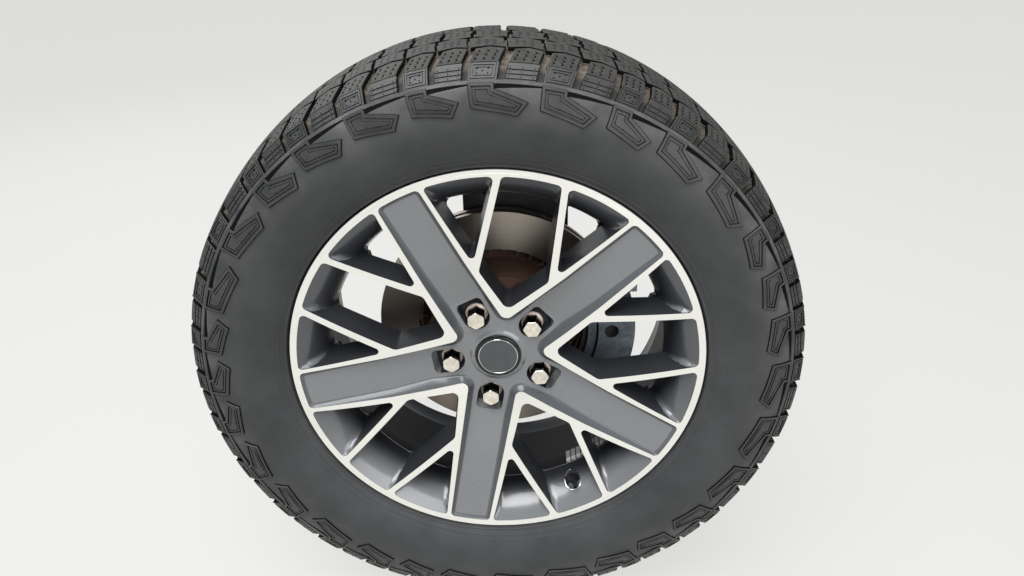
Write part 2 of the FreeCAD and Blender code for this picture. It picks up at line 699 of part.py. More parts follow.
def make_wheel_studs():
    """Five studs pressed through the hub's flange from behind, as one node."""
    body = subpart("wheel_studs", along="-pad_reach", turn="wheel_turn")
    root = "hub_flange + hat_face"
    stud = sketch_on(body, "XZ_Plane", f"-({root})")
    circle(stud, "stud_radius", "0", "-bolt_circle / 2")
    shank = pad(body, stud, f"{root} + stud_end")
    head = sketch_on(body, "XZ_Plane", f"-({root})")
    circle(head, "stud_head_radius", "0", "-bolt_circle / 2")
    knob = pad(body, head, "stud_head", outboard=False)
    body.AllowCompound = True
    ring_of(body, [shank, knob], LUG_NUTS)


def make_valve_stem():
    """Snap-in valve with its cap, through the rim at the foot of a window's slope."""
    turn = math.radians(SIZES["wheel_turn"])
    body = subpart("valve_stem", along=f"{CENTRE_PLANE} + {depth('valve_depth')}",
                   across=f"{VALVE_PLACE} * {math.sin(turn):.8f}", up=f"{VALVE_PLACE} * {math.cos(turn):.8f}",
                   turn="wheel_turn", lean="valve_lean")
    cap_end = "-valve_reach + valve_cap_length"
    wall_end = "valve_floor + valve_wall"
    revolve(body, [("0", "-valve_reach"), ("valve_cap_radius", "-valve_reach"),
                   ("valve_cap_radius", cap_end), ("valve_neck_radius", cap_end),
                   ("valve_root_radius", "valve_floor"), ("valve_hole_radius - fit_gap", "valve_floor"),
                   ("valve_hole_radius - fit_gap", wall_end), ("valve_head_radius", wall_end),
                   ("valve_head_radius", f"{wall_end} + valve_head"), ("0", f"{wall_end} + valve_head")])


def make_balance_weights(label, turn, seat_radius, start, count):
    """A strip of adhesive weights on the inside of the rim, one solid for each weight."""
    body = subpart(label, along=CENTRE_PLANE, turn=turn)
    body.AllowCompound = True
    weight = sketch_on(body, "XZ_Plane", f"-({start} + weight_width)")
    top = f"{seat_radius} - fit_gap"
    half = "weight_length / 2"
    outline(weight, [(half, f"{top} - weight_thickness"), (half, top), (f"-{half}", top),
                     (f"-{half}", f"{top} - weight_thickness")])
    strip = ring_of(body, [pad(body, weight, "weight_width")], count)
    strip.setExpression("Angle", tied(f"weight_turn * {count - 1}"))


def make_brake_disc():
    """Vented disc: the hat carries the inboard cheek, and the vanes carry the outboard one."""
    body = subpart("brake_disc", along="-pad_reach", turn="wheel_turn")
    inner_cheek = "disc_depth + cheek + vent"
    back = "disc_depth + 2 * cheek + vent"
    revolve(body, [("hub_bore / 2", "0"), ("hat_radius", "0"), ("hat_radius", inner_cheek),
                   ("disc_radius", inner_cheek), ("disc_radius", back),
                   ("hat_radius - hat_wall", back), ("hat_radius - hat_wall", "hat_face"),
                   ("hub_bore / 2", "hat_face")])
    vane = sketch_on(body, "XZ_Plane", f"-({inner_cheek})")
    half = "vane_thickness / 2"
    outline(vane, [(half, "vane_inner_radius"), (half, "vane_outer_radius"),
                   (f"-{half}", "vane_outer_radius"), (f"-{half}", "vane_inner_radius")])
    ring_of(body, [pad(body, vane, "vent")], VANES)
    revolve(body, [("cheek_inner_radius", "disc_depth"), ("disc_radius", "disc_depth"),
                   ("disc_radius", "disc_depth + cheek"), ("cheek_inner_radius", "disc_depth + cheek")])
    holes = sketch_on(body, "XZ_Plane")
    circle(holes, "stud_hole_radius", "0", "-bolt_circle / 2")
    ring_of(body, [pocket(body, holes, "hat_face + overrun", outboard=False)], LUG_NUTS)


def make_hub():
    """Turning hub: its flange carries disc and wheel, and its shaft runs in the housing."""
    body = subpart("wheel_hub", along="-pad_reach", turn="wheel_turn")
    pilot = "hub_bore / 2 - fit_gap"
    flange_end = "hat_face + hub_flange"
    end = "pad_reach + spigot_length + shaft_overhang"
    revolve(body, [("spline_radius", "-pilot_height"), (pilot, "-pilot_height"), (pilot, "hat_face"),
                   ("hub_flange_radius", "hat_face"), ("hub_flange_radius", flange_end),
                   ("hub_shaft_radius", flange_end), ("hub_shaft_radius", end), ("spline_radius", end)])
    holes = sketch_on(body, "XZ_Plane")
    circle(holes, "stud_radius + fit_gap", "0", "-bolt_circle / 2")
    cut = pocket(body, holes, f"{flange_end} + overrun", outboard=False)
    ring_of(body, [cut], LUG_NUTS)


def axle_bolt_holes(body, start, length):
    """The four holes for the axle flange's bolts, cut outboard from a plane."""
    holes = sketch_on(body, "XZ_Plane", start)
    place = "axle_bolt_circle / 2 / sqrt(2)"
    for across in (place, f"-{place}"):
        for up in (place, f"-{place}"):
            circle(holes, "axle_bolt_hole", across, up)
    pocket(body, holes, length)


def make_bearing_housing():
    """Bearing housing: a barrel round the hub's shaft, a bolted flange and a spigot."""
    body = subpart("bearing_housing")
    bore = "hub_shaft_radius + shaft_gap"
    flange_out = "-plate_thickness - housing_flange"
    relief_radius = "spigot_radius - spigot_relief / 2"
    revolve(body, [(bore, "-housing_reach"), ("housing_radius", "-housing_reach"),
                   ("housing_radius", flange_out), ("housing_flange_radius", flange_out),
                   ("housing_flange_radius", "-plate_thickness"), ("spigot_root_radius", "-plate_thickness"),
                   ("spigot_root_radius", "0"), (relief_radius, "0"), (relief_radius, "spigot_relief"),
                   ("spigot_radius", "spigot_relief"), ("spigot_radius", "spigot_length"),
                   (bore, "spigot_length")])
    axle_bolt_holes(body, "plate_thickness - overrun", "housing_flange + 2 * overrun")


def make_carrier_plate():
    """Brake carrier plate between housing and axle flange, with two ears for the caliper bracket."""
    body = subpart("brake_carrier_plate")
    plate = sketch_on(body, "XZ_Plane")
    circle(plate, "plate_radius")
    pad(body, plate, "plate_thickness")
    ears = sketch_on(body, "XZ_Plane")
    outline(ears, [("0", "-ear_root_half"), ("ear_reach - ear_chamfer", "-ear_half"),
                   ("ear_reach", "-ear_half + ear_chamfer"), ("ear_reach", "-ear_notch_half"),
                   ("ear_notch", "-ear_notch_half"), ("ear_notch", "ear_notch_half"),
                   ("ear_reach", "ear_notch_half"), ("ear_reach", "ear_half - ear_chamfer"),
                   ("ear_reach - ear_chamfer", "ear_half"), ("0", "ear_root_half")])
    pad(body, ears, "plate_thickness")
    hole = sketch_on(body, "XZ_Plane", "-overrun")
    circle(hole, "spigot_root_radius + fit_gap")
    pocket(body, hole, "plate_thickness + 2 * overrun")
    axle_bolt_holes(body, "-overrun", "plate_thickness + 2 * overrun")


def make_splash_shield():
    """Splash shield: a thin plate behind the disc, notched for the pads, with a lobe over the disc."""
    body = subpart("splash_shield", along="-plate_thickness")
    sheet_outline = sketch_on(body, "XZ_Plane")
    circle(sheet_outline, "shield_radius")
    circle(sheet_outline, "shield_inner_radius")
    pad(body, sheet_outline, "shield_thickness")
    lobe = sketch_on(body, "XZ_Plane")
    sides = ("shield_lobe_front", "shield_lobe_rear")
    front_top, rear_top = [f"sqrt(shield_lobe_radius ^ 2 - {side} ^ 2)" for side in sides]
    sweep = sum(math.asin(SIZES[side] / SIZES["shield_lobe_radius"]) for side in sides)
    outline(lobe, [("-shield_lobe_front", "shield_radius / 2"), ("shield_lobe_rear", "shield_radius / 2"),
                   ("shield_lobe_rear", rear_top, math.tan(sweep / 4)), ("-shield_lobe_front", front_top)])
    pad(body, lobe, "shield_thickness")
    notch = sketch_on(body, "XZ_Plane", "-overrun")
    outline(notch, [("shield_notch", "-shield_notch_half"), ("shield_radius + overrun", "-shield_notch_half"),
                    ("shield_radius + overrun", "shield_notch_half"), ("shield_notch", "shield_notch_half")])
    pocket(body, notch, "shield_thickness + 2 * overrun")


def arc_block(sketch, inner, outer, half):
    """A block across the caliper's radius between two arcs about the spin axis."""
    low = f"sqrt(({inner}) ^ 2 - ({half}) ^ 2)"
    high = f"sqrt(({outer}) ^ 2 - ({half}) ^ 2)"
    inner_bend = math.tan(math.asin(number(half) / number(inner)) / 2)
    outer_bend = math.tan(math.asin(number(half) / number(outer)) / 2)
    outline(sketch, [(low, f"-({half})"), (high, f"-({half})", outer_bend),
                     (high, half), (low, half, -inner_bend)])


def make_brake_pad(label, along):
    """Brake pad with its lining and backing plate as one piece."""
    body = subpart(label, along=along)
    outline_sketch = sketch_on(body, "XZ_Plane")
    arc_block(outline_sketch, "pad_inner_radius", "pad_outer_radius", "pad_half")
    pad(body, outline_sketch, "pad_lining + pad_plate")


def make_caliper():
    """Floating caliper: bridge over the disc, a finger plate outboard and the cylinder inboard."""
    body = subpart("caliper_housing")
    pads_out = f"{DISC_OUT} - pad_gap - pad_lining - pad_plate"
    pads_in = f"{DISC_IN} + pad_gap + pad_lining + pad_plate"
    inner = "disc_radius + caliper_clear"
    outer = f"{inner} + caliper_bridge"
    cylinder_start = f"{pads_in} + shield_thickness"

    bridge = sketch_on(body, "XZ_Plane", f"-({cylinder_start} + finger)")
    arc_block(bridge, inner, outer, "caliper_half")
    pad(body, bridge, f"{cylinder_start} - ({pads_out}) + 2 * finger")
    fingers = sketch_on(body, "XZ_Plane", f"-({pads_out})")
    arc_block(fingers, "finger_inner_radius", outer, "caliper_half")
    pad(body, fingers, "finger")
    access = sketch_on(body, "XZ_Plane", f"-({pads_out} + overrun)")
    circle(access, "finger_hole_radius", "finger_hole_place", "0")
    pocket(body, access, "finger + 2 * overrun")

    web = sketch_on(body, "XZ_Plane", f"-({cylinder_start})")
    web_end = f"{inner} + caliper_bridge / 2"
    outline(web, [("cylinder_radius_place", "-piston_radius"), (web_end, "-piston_radius"),
                  (web_end, "piston_radius"), ("cylinder_radius_place", "piston_radius")])
    pad(body, web, "finger", outboard=False)
    cylinder = sketch_on(body, "XZ_Plane", f"-({cylinder_start})")
    circle(cylinder, "piston_radius + cylinder_wall", "cylinder_radius_place", "0")
    pad(body, cylinder, "cylinder_length", outboard=False)
    ears = sketch_on(body, "XZ_Plane", "-(tower_inboard + boot_length)")
    outline(ears, [("pin_place - lug_ear_radius", "-(pin_side + lug_ear_radius)"),
                   ("pin_place + lug_ear_radius", "-(pin_side + lug_ear_radius)"),
                   ("pin_place + lug_ear_radius", "pin_side + lug_ear_radius"),
                   ("pin_place - lug_ear_radius", "pin_side + lug_ear_radius")])
    pad(body, ears, "lug_ear", outboard=False)
    bore = sketch_on(body, "XZ_Plane", f"-({cylinder_start} - overrun)")
    circle(bore, "piston_radius + fit_gap", "cylinder_radius_place", "0")
    pocket(body, bore, "cylinder_length - cylinder_wall + overrun", outboard=False)
    holes = sketch_on(body, "XZ_Plane", "-tower_inboard")
    for side in ("pin_side", "-pin_side"):
        circle(holes, "pin_radius + fit_gap", "pin_place", side)
    pocket(body, holes, "boot_length + lug_ear + overrun", outboard=False)


def make_piston():
    """Hollow brake piston, pressed against the inner pad's plate."""
    pads_in = f"{DISC_IN} + pad_gap + pad_lining + pad_plate"
    body = subpart("caliper_piston", along=pads_in, across="cylinder_radius_place")
    wall = "cylinder_wall"
    revolve(body, [("0", f"piston_length - {wall}"), (f"piston_radius - {wall}", f"piston_length - {wall}"),
                   (f"piston_radius - {wall}", "0"), ("piston_radius", "0"),
                   ("piston_radius", "piston_length"), ("0", "piston_length")])


def make_bracket():
    """Caliper bracket: a foot on the carrier plate's ears, two towers round the disc and a tie bar."""
    body = subpart("caliper_bracket")
    outboard_face = f"{DISC_OUT} - tower_clear - tower_outboard"
    top = "disc_radius + caliper_clear + caliper_bridge"
    edge = "sqrt((disc_radius + tower_clear) ^ 2 - tower_inner ^ 2)"
    leg_start = "sqrt(tie_inner_radius ^ 2 - tower_inner ^ 2)"
    foot = sketch_on(body, "XZ_Plane")
    outline(foot, [("tower_foot", "-tower_outer"), (top, "-tower_outer"), (top, "-tower_inner"),
                   ("ear_reach", "-tower_inner"), ("ear_reach", "tower_inner"), (top, "tower_inner"),
                   (top, "tower_outer"), ("tower_foot", "tower_outer")])
    pad(body, foot, "tower_inboard", outboard=False)
    for side in ("", "-"):
        crossing = sketch_on(body, "XZ_Plane")
        corners = [(edge, f"{side}tower_inner"), (top, f"{side}tower_inner"),
                   (top, f"{side}tower_outer"), (edge, f"{side}tower_outer")]
        outline(crossing, corners if not side else corners[::-1])
        pad(body, crossing, f"-({outboard_face})")
        leg = sketch_on(body, "XZ_Plane", f"-({outboard_face})")
        corners = [(leg_start, f"{side}tower_inner"), (edge, f"{side}tower_inner"),
                   (edge, f"{side}tower_outer"), (leg_start, f"{side}tower_outer")]
        outline(leg, corners if not side else corners[::-1])
        pad(body, leg, "tower_outboard", outboard=False)
    tie = sketch_on(body, "XZ_Plane", f"-({DISC_OUT} - pad_gap - pad_lining - pad_plate - fit_gap)")
    arc_block(tie, "tie_inner_radius", "tie_outer_radius", "(tower_inner + pin_radius)")
    pad(body, tie, "tie_thickness")
    holes = sketch_on(body, "XZ_Plane", "overrun")
    for side in ("pin_side", "-pin_side"):
        circle(holes, "pin_radius + fit_gap", "pin_place", side)
    pocket(body, holes, "tower_inboard + 2 * overrun", outboard=False)


def make_guide_pin(label, side):
    """Guide pin with its boot's collar and hexagon head."""
    body = subpart(label, along="tower_inboard", across="pin_place", up=side)
    ear_end = "boot_length + lug_ear"
    revolve(body, [("0", "-tower_inboard"), ("pin_radius", "-tower_inboard"), ("pin_radius", "0"),
                   ("boot_radius", "0"), ("boot_radius", "boot_length"), ("pin_radius", "boot_length"),
                   ("pin_radius", ear_end), ("0", ear_end)])
    head = sketch_on(body, "XZ_Plane", f"-({ear_end})")
    hexagon(head, "hex_flats")
    pad(body, head, "hex_head", outboard=False)


def make_bracket_bolts():
    """Two bolts that hold the bracket to the carrier plate, as one node."""
    body = subpart("bracket_bolts", along="tower_inboard")
    body.AllowCompound = True
    heads = sketch_on(body, "XZ_Plane")
    for side in ("bracket_bolt_side", "-bracket_bolt_side"):
        hexagon(heads, "bracket_bolt_flats", "bracket_bolt_place", side)
    pad(body, heads, "bracket_bolt_head", outboard=False)


def make_bleed_screw():
    """Bleed screw with its dust cap, on the cylinder's upper side."""
    body = subpart("bleed_screw", along=f"{DISC_IN} + pad_gap + pad_lining + pad_plate + cylinder_length / 2",
                   across="cylinder_radius_place", up="piston_radius + cylinder_wall")
    stem = sketch_on(body, "XY_Plane")
    circle(stem, "bleed_radius")
    made = feature(body, "Pad", stem)
    made.setExpression("Length", tied("bleed_length"))


def make_hose_union():
    """Banjo union of the brake hose, on the cylinder's end."""
    start = f"{DISC_IN} + pad_gap + pad_lining + pad_plate + shield_thickness + cylinder_length"
    body = subpart("brake_hose_union", along=start, across="cylinder_radius_place")
    disc = sketch_on(body, "XZ_Plane")
    circle(disc, "union_radius")
    pad(body, disc, "union_length", outboard=False)
    head = sketch_on(body, "XZ_Plane", "-union_length")
    hexagon(head, "hex_flats")
    pad(body, head, "hex_head", outboard=False)


make_tyre()
make_alloy_wheel()
make_centre_cap()
for nut_index in range(LUG_NUTS):
    make_lug_nut(nut_index)
make_wheel_studs()
make_valve_stem()
well_end = "-rim_width / 2 + seat_width + well_slope + well_width"
make_balance_weights("balance_weights_outer", "outer_weights_turn", f"{WELL_RADIUS} - rim_wall",
                     f"{well_end} - weight_width - fit_gap", OUTER_WEIGHTS)
barrel_middle = "well_slope + well_width / 2 - seat_width / 4"
make_balance_weights("balance_weights_inner", "inner_weights_turn", f"{BARREL_RADIUS} - rim_wall",
                     f"{barrel_middle} - weight_width / 2", INNER_WEIGHTS)
make_brake_disc()
make_hub()
make_bearing_housing()
make_carrier_plate()
make_splash_shield()
make_bracket()
make_caliper()
make_piston()
make_brake_pad("brake_pad_outer", f"{DISC_OUT} - pad_gap")
make_brake_pad("brake_pad_inner", f"{DISC_IN} + pad_gap + pad_lining + pad_plate")
make_guide_pin("guide_pin_upper", "pin_side")
make_guide_pin("guide_pin_lower", "-pin_side")
make_bracket_bolts()
make_bleed_screw()
make_hose_union()

doc.recompute()
failed = [item.Name for item in doc.Objects if {"Invalid", "Error"} & set(item.State)]
for body in subparts:
    if body.Shape.isNull() or not body.Shape.isValid() or not body.Shape.Solids:
        failed.append(body.Label)
if failed:
    raise RuntimeError(f"failed: {', '.join(failed)}")

os.makedirs("parts", exist_ok=True)
for body in subparts:
    body.Shape.exportStep(f"parts/{body.Label}.step")
    print(f"{body.Label}: {len(body.Shape.Solids)} solids, {body.Shape.Volume / 1000:.1f} cm3")
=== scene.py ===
# %% [markdown]
# # An off-road wheel with its hub and disc brake
# The CAD model gives every piece its size and place. This lesson dresses it: the parts whose surface
# tells the most, such as the cast wheel and the moulded tyre, are built again as finer meshes, and the
# others keep their CAD shape and get a material. All lengths below are millimetres until a mesh is made.

# %% Load the frame
import math
from functools import partial

import bmesh
import bpy
import numpy as np
from mathutils import Matrix, Vector
from mathutils.geometry import delaunay_2d_cdt


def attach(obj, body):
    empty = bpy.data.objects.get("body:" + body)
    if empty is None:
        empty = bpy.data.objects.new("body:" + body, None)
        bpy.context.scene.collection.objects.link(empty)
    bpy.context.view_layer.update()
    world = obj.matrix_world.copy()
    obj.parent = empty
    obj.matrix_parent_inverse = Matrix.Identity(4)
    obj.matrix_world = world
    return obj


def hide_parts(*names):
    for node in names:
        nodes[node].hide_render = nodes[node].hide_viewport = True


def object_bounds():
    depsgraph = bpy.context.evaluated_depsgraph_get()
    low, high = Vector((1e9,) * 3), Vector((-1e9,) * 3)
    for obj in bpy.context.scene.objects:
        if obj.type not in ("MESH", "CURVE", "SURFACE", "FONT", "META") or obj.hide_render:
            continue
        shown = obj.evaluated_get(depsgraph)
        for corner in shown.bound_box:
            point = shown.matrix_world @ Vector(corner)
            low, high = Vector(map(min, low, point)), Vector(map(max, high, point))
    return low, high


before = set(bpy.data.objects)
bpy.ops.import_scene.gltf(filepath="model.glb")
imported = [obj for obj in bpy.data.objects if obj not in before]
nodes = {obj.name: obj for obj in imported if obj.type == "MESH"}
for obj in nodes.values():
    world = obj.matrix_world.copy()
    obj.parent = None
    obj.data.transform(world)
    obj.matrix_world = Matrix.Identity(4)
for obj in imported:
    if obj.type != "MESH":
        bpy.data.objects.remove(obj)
cad_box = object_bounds()

# %% [markdown]
# ## Where the camera stands
# A photograph of a wheel is read from its ellipses: how round the rim looks gives the viewing angle, and
# how fast the pattern shrinks towards the far side gives the distance. Here the camera stands about a
# metre away, a little above the wheel, and looks down by 27 degrees through a wide lens.

# %% The camera
AZIMUTH, ELEVATION, ROLL = (math.radians(a) for a in (1.035, 26.867, -0.916))
CAMERA_DISTANCE = 1.0158
LENS_PIXELS, PICTURE_WIDTH, SENSOR_WIDTH = 816.5, 1024, 36.0
# The place of the rim's lip along the spin axis. Depths below are counted inboard from it.
LIP = -162.15
look_at = Vector((0.0205, LIP / 1000, 0.1167))
back = Vector((math.sin(AZIMUTH) * math.cos(ELEVATION), -math.cos(AZIMUTH) * math.cos(ELEVATION),
               math.sin(ELEVATION)))
camera_data = bpy.data.cameras.new("camera")
camera_data.sensor_width = SENSOR_WIDTH
camera_data.lens = LENS_PIXELS / PICTURE_WIDTH * SENSOR_WIDTH
camera = bpy.data.objects.new("camera", camera_data)
bpy.context.collection.objects.link(camera)
aimed = back.to_track_quat("Z", "Y").to_matrix().to_4x4() @ Matrix.Rotation(ROLL, 4, "Z")
camera.matrix_world = Matrix.Translation(look_at + back * CAMERA_DISTANCE) @ aimed
bpy.context.scene.camera = camera
print("camera at", [round(v, 3) for v in camera.matrix_world.translation])

# %% [markdown]
# ## Light and floor
# Polished metal has no colour of its own: it shows the room. A pale floor and large soft lamps give the
# turned faces something bright to reflect, and the world fills the shadows. The camera and the metal see
# a pale floor, but what it scatters back onto the wheel is as dim as from a road, so undersides stay dark.

# %% Colours and nodes
def colour(hex_text):
    """A linear colour from sRGB hex, as it looks on screen."""
    parts = [int(hex_text[i:i + 2], 16) / 255 for i in (1, 3, 5)]
    return (*[v / 12.92 if v <= 0.04045 else ((v + 0.055) / 1.055) ** 2.4 for v in parts], 1.0)


def plug(tree, made, inputs):
    """Feeds a node's inputs, each from a socket, a colour's hex text or a number."""
    for name, value in inputs.items():
        if isinstance(value, bpy.types.NodeSocket):
            tree.links.new(value, made.inputs[name])
        else:
            made.inputs[name].default_value = colour(value) if isinstance(value, str) else value


def node(tree, kind, inputs=None, **settings):
    """Adds a shader node with its settings and feeds its inputs."""
    made = tree.nodes.new("ShaderNode" + kind)
    for name, value in settings.items():
        setattr(made, name, value)
    plug(tree, made, inputs or {})
    return made


def mix(tree, factor, first, second):
    """A colour between two."""
    made = node(tree, "Mix", {"Factor": factor, "A": first, "B": second}, data_type="RGBA")
    return made.outputs["Result"]


def blend(tree, factor, first, second):
    """A shader between two."""
    return node(tree, "MixShader", {"Fac": factor, 1: first.outputs[0], 2: second.outputs[0]})


def remap(tree, value, old=(0.0, 1.0), new=(0.0, 1.0), kind="LINEAR"):
    """A value moved from an old range to a new one, and held at its ends."""
    span = {"Value": value, "From Min": old[0], "From Max": old[1], "To Min": new[0], "To Max": new[1]}
    return node(tree, "MapRange", span, interpolation_type=kind).outputs["Result"]


def calculate(tree, operation, *values):
    """The result of a sum, a product or another operation."""
    return node(tree, "Math", dict(enumerate(values)), operation=operation).outputs[0]


def noise(tree, place, scale, detail, roughness=0.5):
    """Soft random patches, about so many to the metre."""
    inputs = {"Vector": place, "Scale": scale, "Detail": detail, "Roughness": roughness}
    return node(tree, "TexNoise", inputs).outputs["Fac"]


def new_material(name):
    """A material and its tree."""
    material = bpy.data.materials.new(name)
    material.use_nodes = True
    return material, material.node_tree


def repaint(tree, tone):
    """Gives a material's surface a base colour."""
    plug(tree, tree.nodes["Principled BSDF"], {"Base Color": tone})


def surface(tree, tone, roughness, relief, inputs):
    """Feeds a surface: colour, roughness, relief as (height, strength, metres), and other inputs by name."""
    bump = node(tree, "Bump", dict(zip(("Height", "Strength", "Distance"), relief)))
    repaint(tree, tone)
    plug(tree, tree.nodes["Principled BSDF"], {"Roughness": roughness, "Normal": bump.outputs[0], **inputs})


def base_of(tree):
    """The colour that the surface has so far."""
    return tree.nodes["Principled BSDF"].inputs["Base Color"].links[0].from_socket


print("mid grey in linear light:", round(colour("#808080")[0], 3))

# %% The floor and the lamps
FLOOR_HEIGHT, FLOOR_REACH = cad_box[0][2], 30
floor_material, tree = new_material("pale_floor")
pale = tree.nodes["Principled BSDF"]
plug(tree, pale, {"Base Color": "#c4c4c1", "Roughness": 0.6})
glow = node(tree, "Emission", {"Color": "#fafaf7", "Strength": 1.0})
dim = node(tree, "BsdfDiffuse", {"Color": "#5e5e5c"})
paths = node(tree, "LightPath").outputs
looked_at = blend(tree, 0.7, pale, glow)
bounced = blend(tree, paths["Is Glossy Ray"], dim, glow)
floor_shader = blend(tree, paths["Is Camera Ray"], bounced, looked_at)
plug(tree, tree.nodes["Material Output"], {"Surface": floor_shader.outputs[0]})
floor_mesh = bpy.data.meshes.new("floor")
floor_mesh.from_pydata([(x * FLOOR_REACH, y * FLOOR_REACH, FLOOR_HEIGHT)
                        for x, y in ((-1, -1), (1, -1), (1, 1), (-1, 1))], [], [(0, 1, 2, 3)])
floor_mesh.materials.append(floor_material)
floor = bpy.data.objects.new("floor", floor_mesh)
bpy.context.collection.objects.link(floor)

world = bpy.data.worlds.new("studio")
bpy.context.scene.world = world
world.use_nodes = True
tree = world.node_tree
light = tree.nodes["Background"]
plug(tree, light, {"Color": "#dfe3e8", "Strength": 0.4})
backdrop = node(tree, "Background", {"Color": "#dcdcda", "Strength": 1.0})
paths = node(tree, "LightPath").outputs
world_shader = blend(tree, paths["Is Camera Ray"], light, backdrop)
plug(tree, tree.nodes["World Output"], {"Surface": world_shader.outputs[0]})
bpy.context.scene.view_settings.view_transform = "Standard"


def add_lamp(name, place, aim, size, power):
    """A square soft lamp at a place in metres, turned to what it lights."""
    data = bpy.data.lights.new(name, "AREA")
    data.shape = "SQUARE"
    data.size = size
    data.energy = power
    lamp = bpy.data.objects.new(name, data)
    bpy.context.collection.objects.link(lamp)
    lamp.location = place
    lamp.rotation_euler = (Vector(aim) - Vector(place)).to_track_quat("-Z", "Y").to_euler()


add_lamp("overhead", (-0.5, -1.3, 2.5), (0, -0.1, 0), 2.3, 96)
add_lamp("front_fill", (1.2, -2.6, 0.7), (0, -0.1, 0), 1.6, 22)
add_lamp("back_fill", (-1.5, 2.2, 1.6), (0, 0, 0), 1.6, 26)
print("floor at", round(FLOOR_HEIGHT, 4))

# %% [markdown]
# ## Tools for outlines
# The wheel's face is a drawing with depth: windows, lands, arms and wells are outlines on a flat sheet,
# and each area then sinks to its own depth. So the mesh starts flat. A constrained triangulation fills
# an area between outlines, strips join an outline to its lower twin, and the depth comes last.

# %% Outline helpers
# Half the angle at a corner, in radians, from which the outline counts as straight.
NEARLY_STRAIGHT = 1.55
# Keeps the point of a sharp corner from flying far off when an outline is inset.
SHARPEST_MITRE = 0.8
TINY = 1e-9


def unit(vectors):
    """Vectors of length one."""
    return vectors / np.linalg.norm(vectors, axis=-1, keepdims=True)


def radii(flat):
    """How far flat points lie from the axis."""
    return np.linalg.norm(flat, axis=1)


def rounded(corners, steps):
    """A closed outline from corners (x, z, radius), each corner turned into an arc."""
    points = []
    for index, (x, z, radius) in enumerate(corners):
        here = np.array((x, z))
        before = unit(np.array(corners[index - 1][:2]) - here)
        after = unit(np.array(corners[(index + 1) % len(corners)][:2]) - here)
        half = math.acos(max(-1.0, min(1.0, float(before @ after)))) / 2
        if radius <= 0 or half > NEARLY_STRAIGHT:
            points.append(here)
            continue
        centre = here + unit(before + after) * radius / math.sin(half)
        start = here + before * radius / math.tan(half) - centre
        end = here + after * radius / math.tan(half) - centre
        angle = math.atan2(start[0] * end[1] - start[1] * end[0], float(start @ end))
        for step in range(steps + 1):
            turn = angle * step / steps
            points.append(centre + (start[0] * math.cos(turn) - start[1] * math.sin(turn),
                                    start[0] * math.sin(turn) + start[1] * math.cos(turn)))
    return np.array(points)


def arc_corners(radius, start, end, steps, picked):
    """Corners on a circle about the axis, at the picked ones of some steps between two angles."""
    turns = [start + (end - start) * k / steps for k in picked]
    return [(radius * math.cos(turn), radius * math.sin(turn), 0) for turn in turns]


def dense(loop, longest):
    """The same closed outline with no edge longer than a length."""
    points = []
    for here, there in zip(loop, np.roll(loop, -1, axis=0)):
        parts = max(1, math.ceil(np.linalg.norm(there - here) / longest))
        points += [here + (there - here) * part / parts for part in range(parts)]
    return np.array(points)


def inset(loop, distance):
    """A closed outline moved towards its inside, point by point."""
    x, z = loop[:, 0], loop[:, 1]
    area = float(np.sum(x * np.roll(z, -1) - z * np.roll(x, -1))) / 2
    ahead = unit(np.roll(loop, -1, axis=0) - loop)
    behind = np.roll(ahead, 1, axis=0)
    left = np.stack([-ahead[:, 1], ahead[:, 0]], 1) + np.stack([-behind[:, 1], behind[:, 0]], 1)
    length = np.sum(left * left, axis=1, keepdims=True)
    return loop + left * (2 * distance / np.maximum(length, SHARPEST_MITRE)) * math.copysign(1, area)


def inside(points, loop):
    """Which points lie inside a closed outline."""
    x, z = points[:, :1], points[:, 1:]
    (x1, z1), (x2, z2) = loop.T, np.roll(loop, -1, axis=0).T
    crosses = (z1 > z) != (z2 > z)
    at = x1 + (z - z1) * (x2 - x1) / np.where(z2 == z1, TINY, z2 - z1)
    return np.sum(crosses & (x < at), axis=1) % 2 == 1


def distance_to(points, loop, closed=True):
    """How far points are from an outline or a line."""
    start, end = (loop, np.roll(loop, -1, axis=0)) if closed else (loop[:-1], loop[1:])
    nearest = np.full(len(points), np.inf)
    for a, b in zip(start, end):
        along = b - a
        share = np.clip((points - a) @ along / max(float(along @ along), TINY), 0, 1)
        nearest = np.minimum(nearest, np.linalg.norm(points - a - share[:, None] * along, axis=1))
    return nearest


def grid_in(loop, spacing, margin):
    """Points of a grid inside an outline, with a margin to it."""
    low, high = loop.min(axis=0), loop.max(axis=0)
    xs, zs = (np.arange(low[i] + spacing / 2, high[i], spacing) for i in (0, 1))
    grid = np.stack(np.meshgrid(xs, zs), -1).reshape(-1, 2)
    grid = grid[inside(grid, loop)]
    return grid[distance_to(grid, loop) > margin]


def turned(loop, degrees):
    """An outline turned about the axis."""
    c, s = math.cos(math.radians(degrees)), math.sin(math.radians(degrees))
    return np.asarray(loop) @ np.array(((c, s), (-s, c)))


def circle(radius, count):
    """Places round a circle, as a pair of arrays."""
    angles = np.arange(count) * 2 * math.pi / count
    return radius * np.cos(angles), radius * np.sin(angles)


def ring(radius, count):
    """A circle about the axis as an outline."""
    return np.stack(circle(radius, count), 1)


def placed(flat, depth):
    """Flat points in space, at one depth behind the lip or at a depth for each."""
    return np.stack([flat[:, 0], np.full(len(flat), LIP) + depth, flat[:, 1]], 1)


def at_depth(depth_of):
    """Lifts flat points to the depth behind the lip that a function gives."""
    return lambda flat: placed(flat, depth_of(flat))


def lathe(profile, count):
    """Rows of points about the spin axis from (radius, place along the axis) pairs, first to last."""
    rows = []
    for radius, y in profile:
        x, z = circle(radius, count)
        rows.append(np.stack([x, np.full(count, y), z], 1))
    return rows


def rings(pairs, count):
    """Rows of points about the spin axis from (radius, depth behind the lip) pairs."""
    return lathe([(radius, LIP + depth) for radius, depth in pairs], count)


